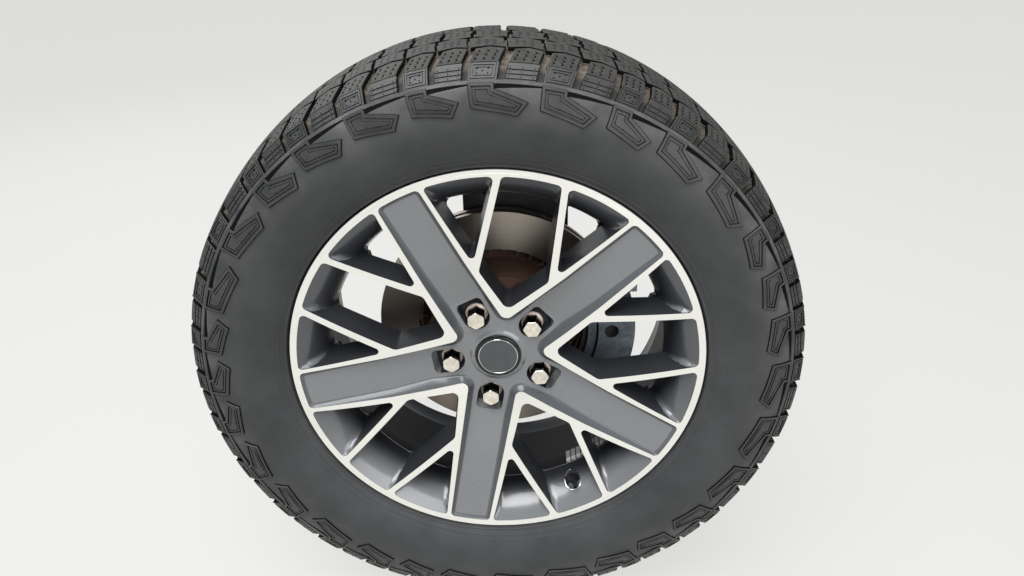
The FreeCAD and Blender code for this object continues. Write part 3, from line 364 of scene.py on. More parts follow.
print("a rounded square has", len(rounded([(0, 0, 2), (9, 0, 2), (9, 9, 2), (0, 9, 2)], 6)), "points")

# %% A shell that gathers points and faces
MERGE_DISTANCE = 0.01


class Shell:
    """Points and faces of one piece in millimetres, gathered area by area."""

    def __init__(self):
        self.points, self.faces, self.slots = [], [], []

    def strips(self, rows, slot=0, closed=True):
        """Quads between rows of points of the same length."""
        count = len(rows[0])
        base = len(self.points)
        for row in rows:
            self.points += [tuple(p) for p in row]
        for level in range(len(rows) - 1):
            for i in range(count if closed else count - 1):
                a, b = base + level * count + i, base + level * count + (i + 1) % count
                self.faces.append((a, b, b + count, a + count))
                self.slots.append(slot)

    def fill(self, loops, lift, slot=0, extra=(), cuts=()):
        """The flat area between outlines, less the cuts, with each point lifted to its place in space."""
        points, edges = [], []
        for loop in [*loops, *cuts]:
            base = len(points)
            points += [Vector((float(x), float(z))) for x, z in loop]
            edges += [(base + i, base + (i + 1) % len(loop)) for i in range(len(loop))]
        points += [Vector((float(x), float(z))) for x, z in extra]
        flat, _, triangles, *_ = delaunay_2d_cdt(points, edges, [], 0, 1e-4)
        flat = np.array([(v.x, v.y) for v in flat])
        triangles = np.array(triangles)
        middles = flat[triangles].mean(axis=1)
        kept = np.zeros(len(triangles), bool)
        for loop in loops:
            kept ^= inside(middles, np.asarray(loop))
        for cut in cuts:
            kept &= ~inside(middles, cut)
        base = len(self.points)
        self.points += [tuple(p) for p in lift(flat)]
        self.faces += [tuple(int(base + i) for i in t) for t in triangles[kept]]
        self.slots += [slot] * int(kept.sum())

    def piece(self, name, materials, sharp, body="wheel"):
        """Makes the piece, rides it on a body, and shades it smooth up to a sharp angle."""
        mesh = bpy.data.meshes.new(name)
        mesh.from_pydata([(x / 1000, y / 1000, z / 1000) for x, y, z in self.points], [], self.faces)
        for material in materials:
            mesh.materials.append(material)
        mesh.polygons.foreach_set("material_index", self.slots)
        work = bmesh.new()
        work.from_mesh(mesh)
        bmesh.ops.remove_doubles(work, verts=work.verts, dist=MERGE_DISTANCE / 1000)
        bmesh.ops.dissolve_degenerate(work, edges=work.edges, dist=1e-6)
        bmesh.ops.recalc_face_normals(work, faces=work.faces)
        work.to_mesh(mesh)
        work.free()
        mesh.shade_smooth()
        mesh.set_sharp_from_angle(angle=math.radians(sharp))
        made = bpy.data.objects.new(name, mesh)
        bpy.context.collection.objects.link(made)
        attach(made, body)
        print(name, "faces:", len(mesh.polygons))
        return made


print("pieces of a wheel are merged at", MERGE_DISTANCE, "mm")

# %% [markdown]
# ## Paint and turned metal
# The wheel is cast aluminium, coated in gloss grey, and then its lands and lip are turned bright on a
# lathe, which leaves fine rings about a millimetre apart. The coat is a base with fine flakes under clear
# lacquer. It is thick on the arms. In the windows, the wells, on the bevels and in the dusty barrel, darker
# paints stand for shade, and the window slopes are painted paler where they face up.

# %% Wheel finishes
RING_SPACING = 0.0009


def object_place(tree):
    """A socket with the place on the piece, in metres."""
    return node(tree, "TexCoord").outputs["Object"]


def radius_and_depth(tree):
    """Sockets with the place, the radius about the spin axis and the place along it, in metres."""
    place = object_place(tree)
    parts = node(tree, "SeparateXYZ", {"Vector": place}).outputs
    flat = node(tree, "CombineXYZ", {"X": parts["X"], "Y": parts["Z"]}).outputs[0]
    radius = node(tree, "VectorMath", {0: flat}, operation="LENGTH").outputs["Value"]
    return place, radius, parts["Y"]


def ring_noise(tree, radius, scale, detail, roughness=0.5):
    """Random rings about the axis."""
    return noise(tree, node(tree, "CombineXYZ", {"X": radius}).outputs[0], scale, detail, roughness)


# Bare wheel alloy, cut bright by a diamond tool.
turned_aluminium, tree = new_material("diamond_turned_aluminium")
place, radius, _ = radius_and_depth(tree)
wave = calculate(tree, "SINE", calculate(tree, "MULTIPLY", radius, 2 * math.pi / RING_SPACING))
streaks = ring_noise(tree, radius, 900.0, 3.0)
surface(tree, mix(tree, noise(tree, place, 14.0, 3.0), "#f0efea", "#fbfaf5"),
        remap(tree, streaks, new=(0.2, 0.34)),
        (calculate(tree, "ADD", wave, streaks), 0.12, 0.0001), {"Metallic": 1.0})


def lacquer(name, dark, light, flake, coat, metallic, gloss=0.5):
    """Wheel paint: a base that drifts between two tones, with flakes, under clear lacquer."""
    material, tree = new_material(name)
    place = object_place(tree)
    flakes = node(tree, "TexVoronoi", {"Vector": place, "Scale": 2600.0}).outputs["Color"]
    haze = noise(tree, place, 11.0, 4.0)
    surface(tree, mix(tree, flakes, mix(tree, haze, dark, light), flake),
            remap(tree, haze, new=(0.24, 0.34)), (noise(tree, place, 420.0, 2.0), 0.05, 0.0004),
            {"Metallic": metallic, "Specular IOR Level": gloss, "Coat Weight": coat, "Coat Roughness": 0.06})
    return material


# Gloss grey wheel paint with fine metal flakes.
wheel_paint = lacquer("grey_wheel_lacquer", "#737578", "#858789", "#939597", 0.6, 0.35)
# The same paint drawn darker and duller on the bevels, as painted shade.
bevel_paint = lacquer("shaded_wheel_lacquer", "#54575a", "#606366", "#6b6e70", 0.25, 0.1)
# A dark paint without lacquer, as painted shade in recesses: the walls of windows and lug wells, the valve
# bowl, the slopes' feet and the inboard flange.
pocket_paint = lacquer("recess_shade_wheel_paint", "#27282c", "#303236", "#393b3f", 0.0, 0.0, 0.16)
# The grey paint of the window slopes with painted light: paler where they face up, and painted shade that
# darkens them deep inside.
slope_paint = lacquer("slope_lacquer_with_painted_light", "#737578", "#858789", "#939597", 0.5, 0.25)
tree = slope_paint.node_tree
along = radius_and_depth(tree)[2]
# Painted shade towards the inner end, and painted light where the slope faces up.
deep = remap(tree, along, ((LIP + 7) / 1000, (LIP + 46) / 1000), kind="SMOOTHSTEP")
facing = node(tree, "TexCoord").outputs["Normal"]
upward = node(tree, "SeparateXYZ", {"Vector": facing}).outputs["Z"]
lit_where_facing_up = remap(tree, upward, (0.0, 0.5), kind="SMOOTHSTEP")
repaint(tree, mix(tree, deep, mix(tree, lit_where_facing_up, "#57595d", base_of(tree)), "#33353a"))

# The inside of the barrel, near black as painted shade, with patches of brake dust.
barrel_shade_paint, tree = new_material("barrel_paint_with_painted_shade")
dust = noise(tree, object_place(tree), 60.0, 6.0, 0.7)
surface(tree, mix(tree, dust, "#0d0e10", "#17181b"), 0.62, (dust, 0.2, 0.0003), {"Specular IOR Level": 0.2})
print("finishes:", turned_aluminium.name, wheel_paint.name, barrel_shade_paint.name)

# %% [markdown]
# ## The wheel's outlines
# Five arms carry five V-shaped lands, with ribs to the rim between them. One fifth of the pattern is
# drawn with u outward and v across, and then turned round the axis in steps of 72 degrees.

# %% Windows, arms and wells
ARM_ANGLE = 43.9
SPOKE_ANGLES = [ARM_ANGLE + 72 * k for k in range(5)]
WINDOW_ANGLES = [angle + 36 for angle in SPOKE_ANGLES]
# The circle on which windows and arms end.
EDGE = 262.2
CORNER_STEPS = 7


def along_edge(left, right):
    """Corners on the edge circle strictly between two points on it."""
    start, end = (math.atan2(v, u) for u, v in (left, right))
    return arc_corners(EDGE, start, end, 8, range(1, 8))


main_window = [(75.0, 0, 9), (128.6, 44.3, 10), (259.7, 36.1, 6.5),
               *along_edge((259.7, 36.1), (259.7, -36.1)), (259.7, -36.1, 6.5), (128.6, -44.3, 10)]
side_window = [(138.6, 52.5, 5), (230.2, 125.8, 5),
               *along_edge((230.2, 125.8), (258.3, 44.5)), (258.3, 44.5, 6)]
other_window = [(u, -v, radius) for u, v, radius in side_window]
windows = [dense(turned(rounded(corners, CORNER_STEPS), angle), 9)
           for angle in WINDOW_ANGLES for corners in (main_window, side_window, other_window)]
print("windows:", len(windows))


def arm_outline(tip, half_near, half_far, end, tip_radius, end_radius):
    """The star of five arms: tips between the arms, and sides that narrow to the rim."""
    end_u = math.sqrt(end ** 2 - half_far ** 2)
    spread = math.asin(half_far / end)
    side = [(95, half_near, 0), (150, half_near * 0.67 + half_far * 0.33, 0), (end_u, half_far, end_radius)]
    arm = [(*turned([(tip, 0)], -36)[0], tip_radius), *[(u, -v, radius) for u, v, radius in side],
           *arc_corners(end, -spread, spread, 6, range(1, 6)), *side[::-1]]
    corners = []
    for angle in SPOKE_ANGLES:
        places = turned([corner[:2] for corner in arm], angle)
        corners += [(x, z, corner[2]) for (x, z), corner in zip(places, arm)]
    return rounded(corners, CORNER_STEPS)


recess = arm_outline(55.6, 31.8, 28.0, EDGE, 9, 6.5)
floor_line = arm_outline(41.6, 23.3, 22.6, 257.6, 17.5, 3.5)
print("recess outline:", len(recess), "points, floor outline:", len(floor_line))

# %% [markdown]
# ## How deep each area lies
# The lands follow one turned curve, a very shallow bowl. The arms' floors are cast: level at the hub, a
# step, a ramp to a fold at 152 mm, and from there a gentle rise to the rim. Behind, the wheel follows a
# cone. Each depth is a function of the place on the flat drawing, in millimetres behind the lip.

# %% Depth functions
LIP_RADIUS, BOWL_CURVE = 271.5, 1802
COLLAR_RADIUS, COLLAR_WIDTH, COLLAR_HEIGHT = 38.0, 4.0, 2.2
# The pad at the back that meets the disc, and the edge of the cone round it.
PAD_RADIUS, PAD_DEPTH, BACK_RADIUS = 79.5, 70.05, 236


def face_depth(flat):
    """The turned bowl of the lands and the lip."""
    return np.maximum(0, LIP_RADIUS - radii(flat)) ** 2 / BOWL_CURVE


def along_arm(flat):
    """How far out along the nearest arm's middle line each place lies."""
    angles = np.degrees(np.arctan2(flat[:, 1], flat[:, 0])) - ARM_ANGLE
    return radii(flat) * np.cos(np.radians((angles + 36) % 72 - 36))


def floor_depth(flat):
    """The painted floors of the arms, and the level hub with its low collar round the cap."""
    depth = np.interp(along_arm(flat), [0, 94, 99, 150, 154, 240, 246, 257],
                      [33, 33, 31.4, 18.3, 17.6, 5.9, 5.3, 3.6])
    collar = np.clip((COLLAR_RADIUS - radii(flat)) / COLLAR_WIDTH, 0, 1)
    return depth - COLLAR_HEIGHT * collar * collar * (3 - 2 * collar)


def back_depth(flat):
    """The cone behind the arms, which ends at the pad that meets the disc."""
    return np.interp(radii(flat), [0, PAD_RADIUS, PAD_RADIUS + 1, 100, BACK_RADIUS],
                     [PAD_DEPTH, PAD_DEPTH, 69, 60, 44])


on_face, on_floor, on_back = (at_depth(depth_of) for depth_of in (face_depth, floor_depth, back_depth))
along_middle = turned([(60, 0), (120, 0), (200, 0)], ARM_ANGLE)
print("floor depth at 60, 120 and 200:", floor_depth(along_middle).round(1))

# %% [markdown]
# ## Casting the lattice
# The top is one net of lands. Round every arm a bevel drops from the land's sharp edge and rounds into
# the floor. Each nut stands in a well that is round towards the cap and square towards the arm. Windows
# narrow a little towards the back, as a mould that opens forward needs.

# %% The lattice of lands, arms and wells
LUG_CIRCLE = 63.5
WELL_DEPTH, WELL_HALF, WELL_REACH, SEAT_RADIUS, HOLE_RADIUS = 48.0, 18, 26, 14.6, 7.8
# The well's floor ends here along the arm, and its outer wall is a painted ramp.
RAMP_FOOT = 19.5
ROUND, SMALL_ROUND = 240, 48
NUT_CENTRES = [turned([(LUG_CIRCLE, 0)], angle)[0] for angle in SPOKE_ANGLES]
# POCKET and BEVEL take the darker paints that stand for shade.
LAND, PAINT, POCKET, BEVEL = range(4)
lattice = Shell()
lattice.fill([ring(266.0, ROUND), recess] + windows, on_face, LAND)
# A fine line is cut into the lip.
lip_rows = ((270.85, 0), (266.6, 0), (266.5, 0.35), (266.1, 0.35), (266.0, 0))
lattice.strips([placed(ring(r, ROUND), face_depth(ring(r, ROUND)) + sink) for r, sink in lip_rows], LAND)

rows = []
for share, sink in ((0, 0), (0.02, 0.06), (0.30, 0.42), (0.62, 0.78), (0.82, 0.93), (1, 1)):
    flat = recess + (floor_line - recess) * share
    rows.append(placed(flat, face_depth(recess) * (1 - sink) + floor_depth(floor_line) * sink))
lattice.strips(rows, BEVEL)

well_round = [(LUG_CIRCLE + WELL_HALF * math.cos(a), WELL_HALF * math.sin(a), 0)
              for a in np.radians(np.arange(90, 271, 12))]
well_end = [(LUG_CIRCLE + WELL_REACH, v, 7) for v in (-WELL_HALF, WELL_HALF)]
well = rounded(well_end + well_round, 6)
wells = [turned(well, angle) for angle in SPOKE_ANGLES]
cap_hole, bore = ring(31.3, 96), ring(35.75, 96)
dots = grid_in(floor_line, 5.0, 1.5)
dots = dots[~np.any([inside(dots, inset(loop, -1.5)) for loop in wells], axis=0)]
dots = np.concatenate([dots[radii(dots) > 33], *[ring(r, 72) for r in (34.0, 36.0, 38.0)]])
lattice.fill([floor_line, cap_hole] + wells, on_floor, PAINT, dots)
for loop, centre in zip(wells, NUT_CENTRES):
    out = centre / LUG_CIRCLE
    lower = inset(loop, 1.2)
    lower -= np.maximum(lower @ out - LUG_CIRCLE - RAMP_FOOT, 0)[:, None] * out
    foot = inset(lower, 1.2)
    first = len(lattice.faces)
    lattice.strips([on_floor(loop), placed(inset(loop, 0.5), floor_depth(loop) + 1.0),
                    placed(lower, WELL_DEPTH - 1.5), placed(foot, WELL_DEPTH)], POCKET)
    for index in range(first, len(lattice.faces)):
        middle = np.mean([lattice.points[i] for i in lattice.faces[index]], axis=0)[[0, 2]]
        if middle @ out > LUG_CIRCLE + RAMP_FOOT - 0.5:
            lattice.slots[index] = PAINT
    seat, hole = (centre + ring(radius, SMALL_ROUND) for radius in (SEAT_RADIUS, HOLE_RADIUS))
    lattice.fill([foot, seat], lambda flat: placed(flat, WELL_DEPTH), POCKET)
    lattice.strips([placed(seat, WELL_DEPTH), placed(hole, WELL_DEPTH + 6), placed(hole, PAD_DEPTH)], PAINT)
bore_rows = ((cap_hole, 30.8), (cap_hole, 56), (bore, 56), (bore, PAD_DEPTH))
lattice.strips([placed(loop, depth) for loop, depth in bore_rows], PAINT)

lower_windows = []
for loop in windows:
    lower = inset(loop, 2.4)
    lower = lower * np.minimum(1, 233.5 / radii(lower)[:, None])
    lower_windows.append(lower)
    lattice.strips([on_face(loop), placed(inset(loop, 0.15), face_depth(loop) + 1.2), on_back(lower)], POCKET)
# The arms are hollow from behind, which saves weight.
hollow = rounded([(118, -17, 5), (226, -17, 5), (226, 17, 5), (118, 17, 5)], 5)
hollows = [dense(turned(hollow, angle), 12) for angle in SPOKE_ANGLES]
lug_holes = [centre + ring(HOLE_RADIUS, SMALL_ROUND) for centre in NUT_CENTRES]
dots = np.concatenate([ring(r, 96) for r in (PAD_RADIUS, PAD_RADIUS + 1, 100)])
lattice.fill([ring(BACK_RADIUS, ROUND), bore] + lower_windows + hollows + lug_holes, on_back, PAINT, dots)
in_hollow = at_depth(lambda flat: np.interp(radii(flat), [118, 226], [38, 22]))
for loop in hollows:
    deep = inset(loop, 2.5)
    lattice.strips([on_back(loop), in_hollow(deep)], PAINT)
    lattice.fill([deep], in_hollow, PAINT)
rim_side = [(270.85, 0), (271.3, 0.35), (LIP_RADIUS, 0.9), (271.3, 4), (266, 10), (250, 15),
            (BACK_RADIUS, 44)]
lattice.strips(rings(rim_side, ROUND), PAINT)
lattice_finishes = [turned_aluminium, wheel_paint, pocket_paint, bevel_paint]
lattice_piece = lattice.piece("cast_lattice", lattice_finishes, sharp=28)

# %% [markdown]
# ## The rim
# The rim is a turned ring: bead seats that the tyre grips, a well that lets the tyre go on, and a long
# barrel. Inside each window it shows as a glossy slope that rounds up into the ribs on either side, so
# those slopes are fine patches whose edges climb the walls.

# %% The rim and its valve spot
SLOPE = [(224.5, 54.0), (226.8, 45.0), (230.6, 34.5), (235.7, 25.2), (241.4, 17.3), (248.0, 10.5),
         (255.0, 5.2), (EDGE, 0.25)]
SLOPE_RADII, SLOPE_DEPTHS = zip(*SLOPE)
FOOT, FOOT_DEPTH = SLOPE_RADII[0], 60.4
rim_profile = [(224.9, 55.0), (225.6, 57.0), (230.0, FOOT_DEPTH), (230.0, 84),
               (242, 106), (242, 177.1), (248, 189.6), (248, 216.2), (264.4, 228.3), (265.6, 229.2),
               (270.6, 229.2), (LIP_RADIUS, 228.2), (LIP_RADIUS, 222.7), (265, 216.2), (254, 216.2),
               (254, 191.2), (248, 178.7), (248, 102), (236, 85), (236, 55), (254, 38), (254, 13),
               (265, 13), (271.2, 6.6), (271.2, 1.5)]
# SHADED_BARREL and DARK take paints that stand for shade: inside the barrel, on the inboard flange, at the
# slopes' feet and in the valve bowl.
COATED, SHADED_BARREL, BRIGHT, DARK, SLOPED = range(5)
rim = Shell()
rows = rings(rim_profile, ROUND)
for start, end, slot in ((0, 3, SLOPED), (2, 6, SHADED_BARREL), (5, 9, DARK), (8, None, COATED)):
    rim.strips(rows[start:end], slot)

# The valve points outboard and leans towards the axis. A bowl with a bright edge is cut square to it, and its
# dark paint stands for shade.
VALVE_ANGLE, VALVE_RADIUS, VALVE_DEPTH, VALVE_LEAN = -63.8, 234.4, 27.3, math.radians(21)
SPOT_RADIUS, SPOT_CLEARANCE = 12.4, 17
valve_middle = turned([(VALVE_RADIUS, 0)], VALVE_ANGLE)[0]
behind = Shell()
behind.strips(rings([(271.2, 1.5)] + [(r + 0.7, d + 0.5) for r, d in SLOPE[::-1]] + [(224.9, 55)], ROUND))
for face in behind.faces:
    corners = [behind.points[i] for i in face]
    if np.linalg.norm(np.mean(corners, axis=0)[[0, 2]] - valve_middle) > SPOT_CLEARANCE:
        base = len(rim.points)
        rim.points += corners
        rim.faces.append(tuple(range(base, base + len(face))))
        rim.slots.append(SLOPED)


def leaned(off, height):
    """Radius and depth of places off the valve's axis, and outboard along it."""
    radius = VALVE_RADIUS + off * math.cos(VALVE_LEAN) - height * math.sin(VALVE_LEAN)
    depth = VALVE_DEPTH - off * math.sin(VALVE_LEAN) - height * math.cos(VALVE_LEAN)
    return radius, depth


def round_valve(pairs, count=SMALL_ROUND):
    """Rows of points about the valve's axis, from (radius, height outboard) pairs."""
    made = []
    for size, height in pairs:
        off, across = circle(size, count)
        radius, depth = leaned(off, height)
        made.append(placed(turned(np.stack([radius, across], 1), VALVE_ANGLE), depth))
    return made


# The spot's edge moves along the valve's axis until it lies on the slope.
off, across = circle(SPOT_RADIUS, SMALL_ROUND)
rise = np.zeros(SMALL_ROUND)
for _ in range(30):
    spot_radius, spot_depth = leaned(off, rise)
    rise += 0.5 * (spot_depth - np.interp(spot_radius, SLOPE_RADII, SLOPE_DEPTHS))
spot = turned(np.stack([spot_radius, across], 1), VALVE_ANGLE)
edge = placed(spot, spot_depth)
wide, narrow = round_valve([(SPOT_RADIUS + 1.1, 0.5), (SPOT_RADIUS, 0.0)])
chamfer = edge + (narrow - wide)
rim.strips([edge, chamfer], BRIGHT)
rim.strips([chamfer, *round_valve([(10.6, -7.0), (0.5, -7.0)])], DARK)
print("valve spot lies", round(float(spot_depth.min()), 1), "to", round(float(spot_depth.max()), 1), "deep")

# %% The slopes in the windows
RIB_END = 260.8


def slope_lift(loop):
    """The slope's depth in a window, with a round that climbs the ribs."""
    far = radii(loop) > RIB_END
    walls = np.roll(loop, -(np.flatnonzero(far & np.roll(far, -1)).max() + 2), axis=0)
    walls = walls[radii(walls) < RIB_END]

    def depth_of(flat):
        slope = np.interp(radii(flat), SLOPE_RADII, SLOPE_DEPTHS)
        size = np.clip(slope * 0.8, 0.5, 9)
        near = np.clip(distance_to(flat, walls, closed=False) / size, 0, 1)
        climb = size * (1 - np.sqrt(1 - (1 - near) ** 2))
        return np.maximum(slope - climb, face_depth(flat) + 0.15)
    return at_depth(depth_of)


def foot_line(walls):
    """The open line where a slope ends: along the foot's circle, with a round into the wall on each side."""
    corners = []
    for near, far in walls:
        along = unit(far - near)
        half = float(near @ along)
        reach = -half + math.sqrt(half ** 2 - float(near @ near) + FOOT ** 2)
        corners.append((near, near + along * reach))
    (first, left), (last, right) = corners
    start, end = (math.atan2(v, u) for u, v in (left, right))
    middle = arc_corners(FOOT, start, end, 12, range(3, 10))
    return rounded([(*first, 0), (*left, 10), *middle, (*right, 10), (*last, 0)], CORNER_STEPS)[1:-1]


main_walls = np.array([((128.6, 44.9), (259.7, 36.7)), ((128.6, -44.9), (259.7, -36.7))])
side_walls = np.array([((138.2, 53.0), (229.8, 126.3)), ((138.6, 51.9), (258.3, 43.9))])
# The walls of each kind of window, and a point in it nearer the hub than its foot.
kinds = [(main_walls, (60.0, 0.0)), (side_walls, (133.0, 50.0)), (side_walls * (1, -1), (133.0, -50.0))]
for number, loop in enumerate(windows):
    walls, inner_point = kinds[number % 3]
    line = foot_line(walls)
    opening = turned([walls[0][0], *line, walls[1][0], inner_point], WINDOW_ANGLES[number // 3])
    line = turned(line, WINDOW_ANGLES[number // 3])
    lift = slope_lift(loop)
    near_walls = np.concatenate([inset(loop, d) for d in (0.6, 1.6)])
    fine = np.concatenate([grid_in(loop, 3.0, 1.0), near_walls[inside(near_walls, loop)]])
    fine = fine[~inside(fine, opening) & (distance_to(fine, line, closed=False) > 1.0)]
    spots = [spot] if inside(np.array([spot.mean(axis=0)]), loop)[0] else []
    rim.fill([loop], lift, SLOPED, fine, [opening, *spots])
    top, out = lift(line), unit(line)
    soft = top + np.stack([out[:, 0] * 0.5, np.full(len(out), 1.6), out[:, 1] * 0.5], 1)
    rim.strips([top, soft, placed(line + out * 5.5, FOOT_DEPTH)], DARK, closed=False)
rim_finishes = [wheel_paint, barrel_shade_paint, turned_aluminium, pocket_paint, slope_paint]
rim_piece = rim.piece("cast_rim", rim_finishes, sharp=30)
for made in (lattice_piece, rim_piece):
    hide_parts("alloy_wheel")

# %% [markdown]
# ## Tyre rubber
# Tyre rubber is black from soot, yet on the road it looks dark grey: the skin is slightly rough, wax
# blooms on it and dust settles in its low places. The tread is rougher than the sidewall, and the
# grooves between the blocks keep tan dust. Patches a few centimetres wide make the grey uneven.

# %% Rubber finishes
GRAIN_SIZE = 0.0016


def rubber(name, dark, light, patch_size, roughness, relief, gloss=0.4):
    """Moulded rubber whose tone drifts between two greys over patches of a size in metres."""
    material, tree = new_material(name)
    place = object_place(tree)
    patches = noise(tree, place, 1 / patch_size, 6.0, 0.62)
    surface(tree, mix(tree, remap(tree, patches, (0.35, 0.68)), dark, light),
            remap(tree, patches, new=(roughness - 0.1, roughness + 0.12)),
            (noise(tree, place, 1 / GRAIN_SIZE, 3.0), relief, 0.0005), {"Specular IOR Level": gloss})
    return material


# Smooth moulded sidewall, with a bloom of wax.
sidewall_rubber = rubber("moulded_sidewall_rubber", "#3b3c3d", "#4d4e4f", 0.09, 0.52, 0.18)
# The tops of claws, frames and ribs, rubbed smooth.
form_rubber = rubber("raised_sidewall_rubber", "#373838", "#474746", 0.03, 0.36, 0.15)
# Near-black rubber as painted shade: the walls of raised forms, sipes and gaps, and the vent pips.
shadow_rubber = rubber("black_painted_shade_rubber", "#070708", "#0e0e0f", 0.02, 0.75, 0.2, 0.12)
# Tread roughened by the road.
tread_rubber = rubber("worn_tread_rubber", "#363635", "#4b4a46", 0.012, 0.7, 0.7)
# Dry mud and dust at the bottom of the grooves.
groove_dust = rubber("dusty_groove_rubber", "#565048", "#8b8275", 0.009, 0.88, 0.7)
# Under the ridge the sidewall has smudges, and the dust is washed out of the grooves in the shoulder.
tree = sidewall_rubber.node_tree
place, radius, _ = radius_and_depth(tree)
smudges = remap(tree, noise(tree, place, 17.0, 7.0, 0.6), (0.42, 0.72))
wiped = calculate(tree, "MULTIPLY", remap(tree, radius, (0.325, 0.366)), smudges)
repaint(tree, mix(tree, wiped, base_of(tree), "#6c6a67"))
tree = groove_dust.node_tree
in_tread = remap(tree, radius_and_depth(tree)[1], (0.3835, 0.3905))
repaint(tree, mix(tree, in_tread, "#42403d", base_of(tree)))
print("rubbers:", sidewall_rubber.name, form_rubber.name, tread_rubber.name, groove_dust.name)

# %% [markdown]
# ## The tyre's section
# Across, the tyre is a chain of arcs: a rim protector, a bulging sidewall, a ridge where the shoulder
# begins, a shoulder face and a shallow crown. Blocks and claws are drawn flat, as a distance round the
# tyre and a distance along this chain, and are then wrapped onto it, so they all follow its curves.

# %% The section as a chain of arcs
CENTRE = -47.55


def arc(start, end, bulge, steps):
    """Points of an arc whose bulge is the tangent of a quarter of its angle, without its end."""
    start, end = np.array(start), np.array(end)
    chord = end - start
    if not bulge:
        return [start + chord * i / steps for i in range(steps)]
    sweep = 4 * math.atan(bulge)
    centre = (start + end) / 2 - np.array((-chord[1], chord[0])) / (2 * math.tan(sweep / 2))
    return [centre + turned(start - centre, math.degrees(-sweep * i / steps)) for i in range(steps)]


PROTECTOR, BULGE = (274.5, 116.0), (337.9, 139.5)
RIDGE, SHOULDER = (376.06, 131.0), (395.0, 118.02)
chain = arc(PROTECTOR, BULGE, 0.17, 24) + arc(BULGE, RIDGE, 0.11, 14)
ridge_row = len(chain)
chain += arc(RIDGE, SHOULDER, 0, 8)
shoulder_row = len(chain)
chain += arc(SHOULDER, (395.0, -118.02), 0.0869, 60)
chain = np.array(chain)
chain_s = np.concatenate([[0], np.cumsum(radii(np.diff(chain, axis=0)))])
tangent = unit(np.gradient(chain, axis=0))
chain_normal = np.stack([-tangent[:, 1], tangent[:, 0]], 1)
S_RIDGE, S_SHOULDER = chain_s[ridge_row], chain_s[shoulder_row]
S_CROWN = S_SHOULDER + 118.6
print("ridge, shoulder and crown along the section:", np.round((S_RIDGE, S_SHOULDER, S_CROWN), 1))

# %% [markdown]
# ## Pitches
# A tyre whose blocks were all the same length would sing one note. So the tread repeats 31 times in
# lengths from 10 to 14 degrees, in an uneven order. The angles below are where each pitch begins.

# %% Pitches and wrapping
PITCH_STARTS = [207.0, 194.2, 183.9, 174.0, 164.1, 150.9, 137.7, 127.2, 115.9, 104.4, 93.7, 81.2, 68.8,
                58.4, 46.0, 33.4, 23.6, 13.8, 2.9, -10.3, -24.1, -37.1, -48.3, -58.2, -69.4, -82.4,
                -95.4, -106.6, -116.5, -127.7, -140.7]
PITCHES = list(zip(PITCH_STARTS, PITCH_STARTS[1:] + [PITCH_STARTS[0] - 360]))
EVERY_PITCH = [(pitch, inboard) for inboard in (False, True) for pitch in range(len(PITCHES))]
WRAP_RADIUS = 390.0
# The inboard half runs the other way round, and starts this many pitches on.
INBOARD_SHIFT = 1.467
# How deep a sipe goes, and every other gap inside a raised outline.
GAP_DEPTH = 3.5


def pitch_length(pitch):
    """How long a pitch is round the tyre."""
    start, end = PITCHES[pitch]
    return math.radians(start - end) * WRAP_RADIUS


def on_tyre(pitch, height, inboard):
    """Lifts flat points (round the tyre, along the section) to a height over the tyre's skin."""
    def lift(flat):
        along = INBOARD_SHIFT * pitch_length(pitch) - flat[:, 0] if inboard else flat[:, 0]
        angle = math.radians(PITCHES[pitch][0]) - along / WRAP_RADIUS
        r, y = (np.interp(flat[:, 1], chain_s, chain[:, i] + chain_normal[:, i] * height) for i in (0, 1))
        return np.stack([r * np.cos(angle), CENTRE + (y if inboard else -y), r * np.sin(angle)], 1)
    return lift


def raise_block(shell, pitch, inboard, outline, top, low, slots, bevel, flare, holes=()):
    """A raised block: a bevelled top over an outline of shares of the pitch and places along the section.
    The slots are for its top, its walls and the lower half of its walls."""
    loop, *gaps = (np.array(corners) * (pitch_length(pitch), 1) for corners in (outline, *holes))
    loop = dense(loop, 9)
    upper = inset(loop, bevel)
    at_low, at_edge, at_top, at_floor = (on_tyre(pitch, height, inboard)
                                         for height in (low, top - bevel, top, top - GAP_DEPTH))
    slot, walls, foot = slots
    bottom, edge = at_low(inset(loop, -flare)), at_edge(loop)
    if foot == walls:
        shell.strips([bottom, edge], walls)
    else:
        shell.strips([bottom, (bottom + edge) / 2], foot)
        shell.strips([(bottom + edge) / 2, edge], walls)
    shell.strips([edge, at_top(upper)], slot)
    extra = grid_in(upper, 11, 4) if len(loop) > 12 else ()
    if len(extra) and gaps:
        extra = extra[~np.any([inside(extra, inset(gap, -0.8)) for gap in gaps], axis=0)]
    shell.fill([upper, *gaps], at_top, slot, extra)
    for gap in gaps:
        shell.strips([at_top(gap), at_floor(gap)], walls)
        shell.fill([gap], at_floor, walls)


lengths = [start - end for start, end in PITCHES]
print("pitches:", len(PITCHES), "from", round(min(lengths), 1), "to", round(max(lengths), 1), "degrees")

# %% [markdown]
# ## The carcass
# The carcass is the tyre without its blocks. It runs at the depth of the grooves under the tread, comes
# up to the skin at the ridge, and carries the fine rings that every mould leaves near the bead.

# %% The carcass
GROOVE_DEPTH = 8.5
TYRE_ROUND = 288


def skin(half, inboard):
    """Section points of one half with their heights, as radius and place along the axis."""
    rows = []
    for s, height in half:
        x, y, z = on_tyre(0, height, inboard)(np.array([(0.0, s)]))[0]
        rows.append((math.hypot(x, z), y))
    return rows


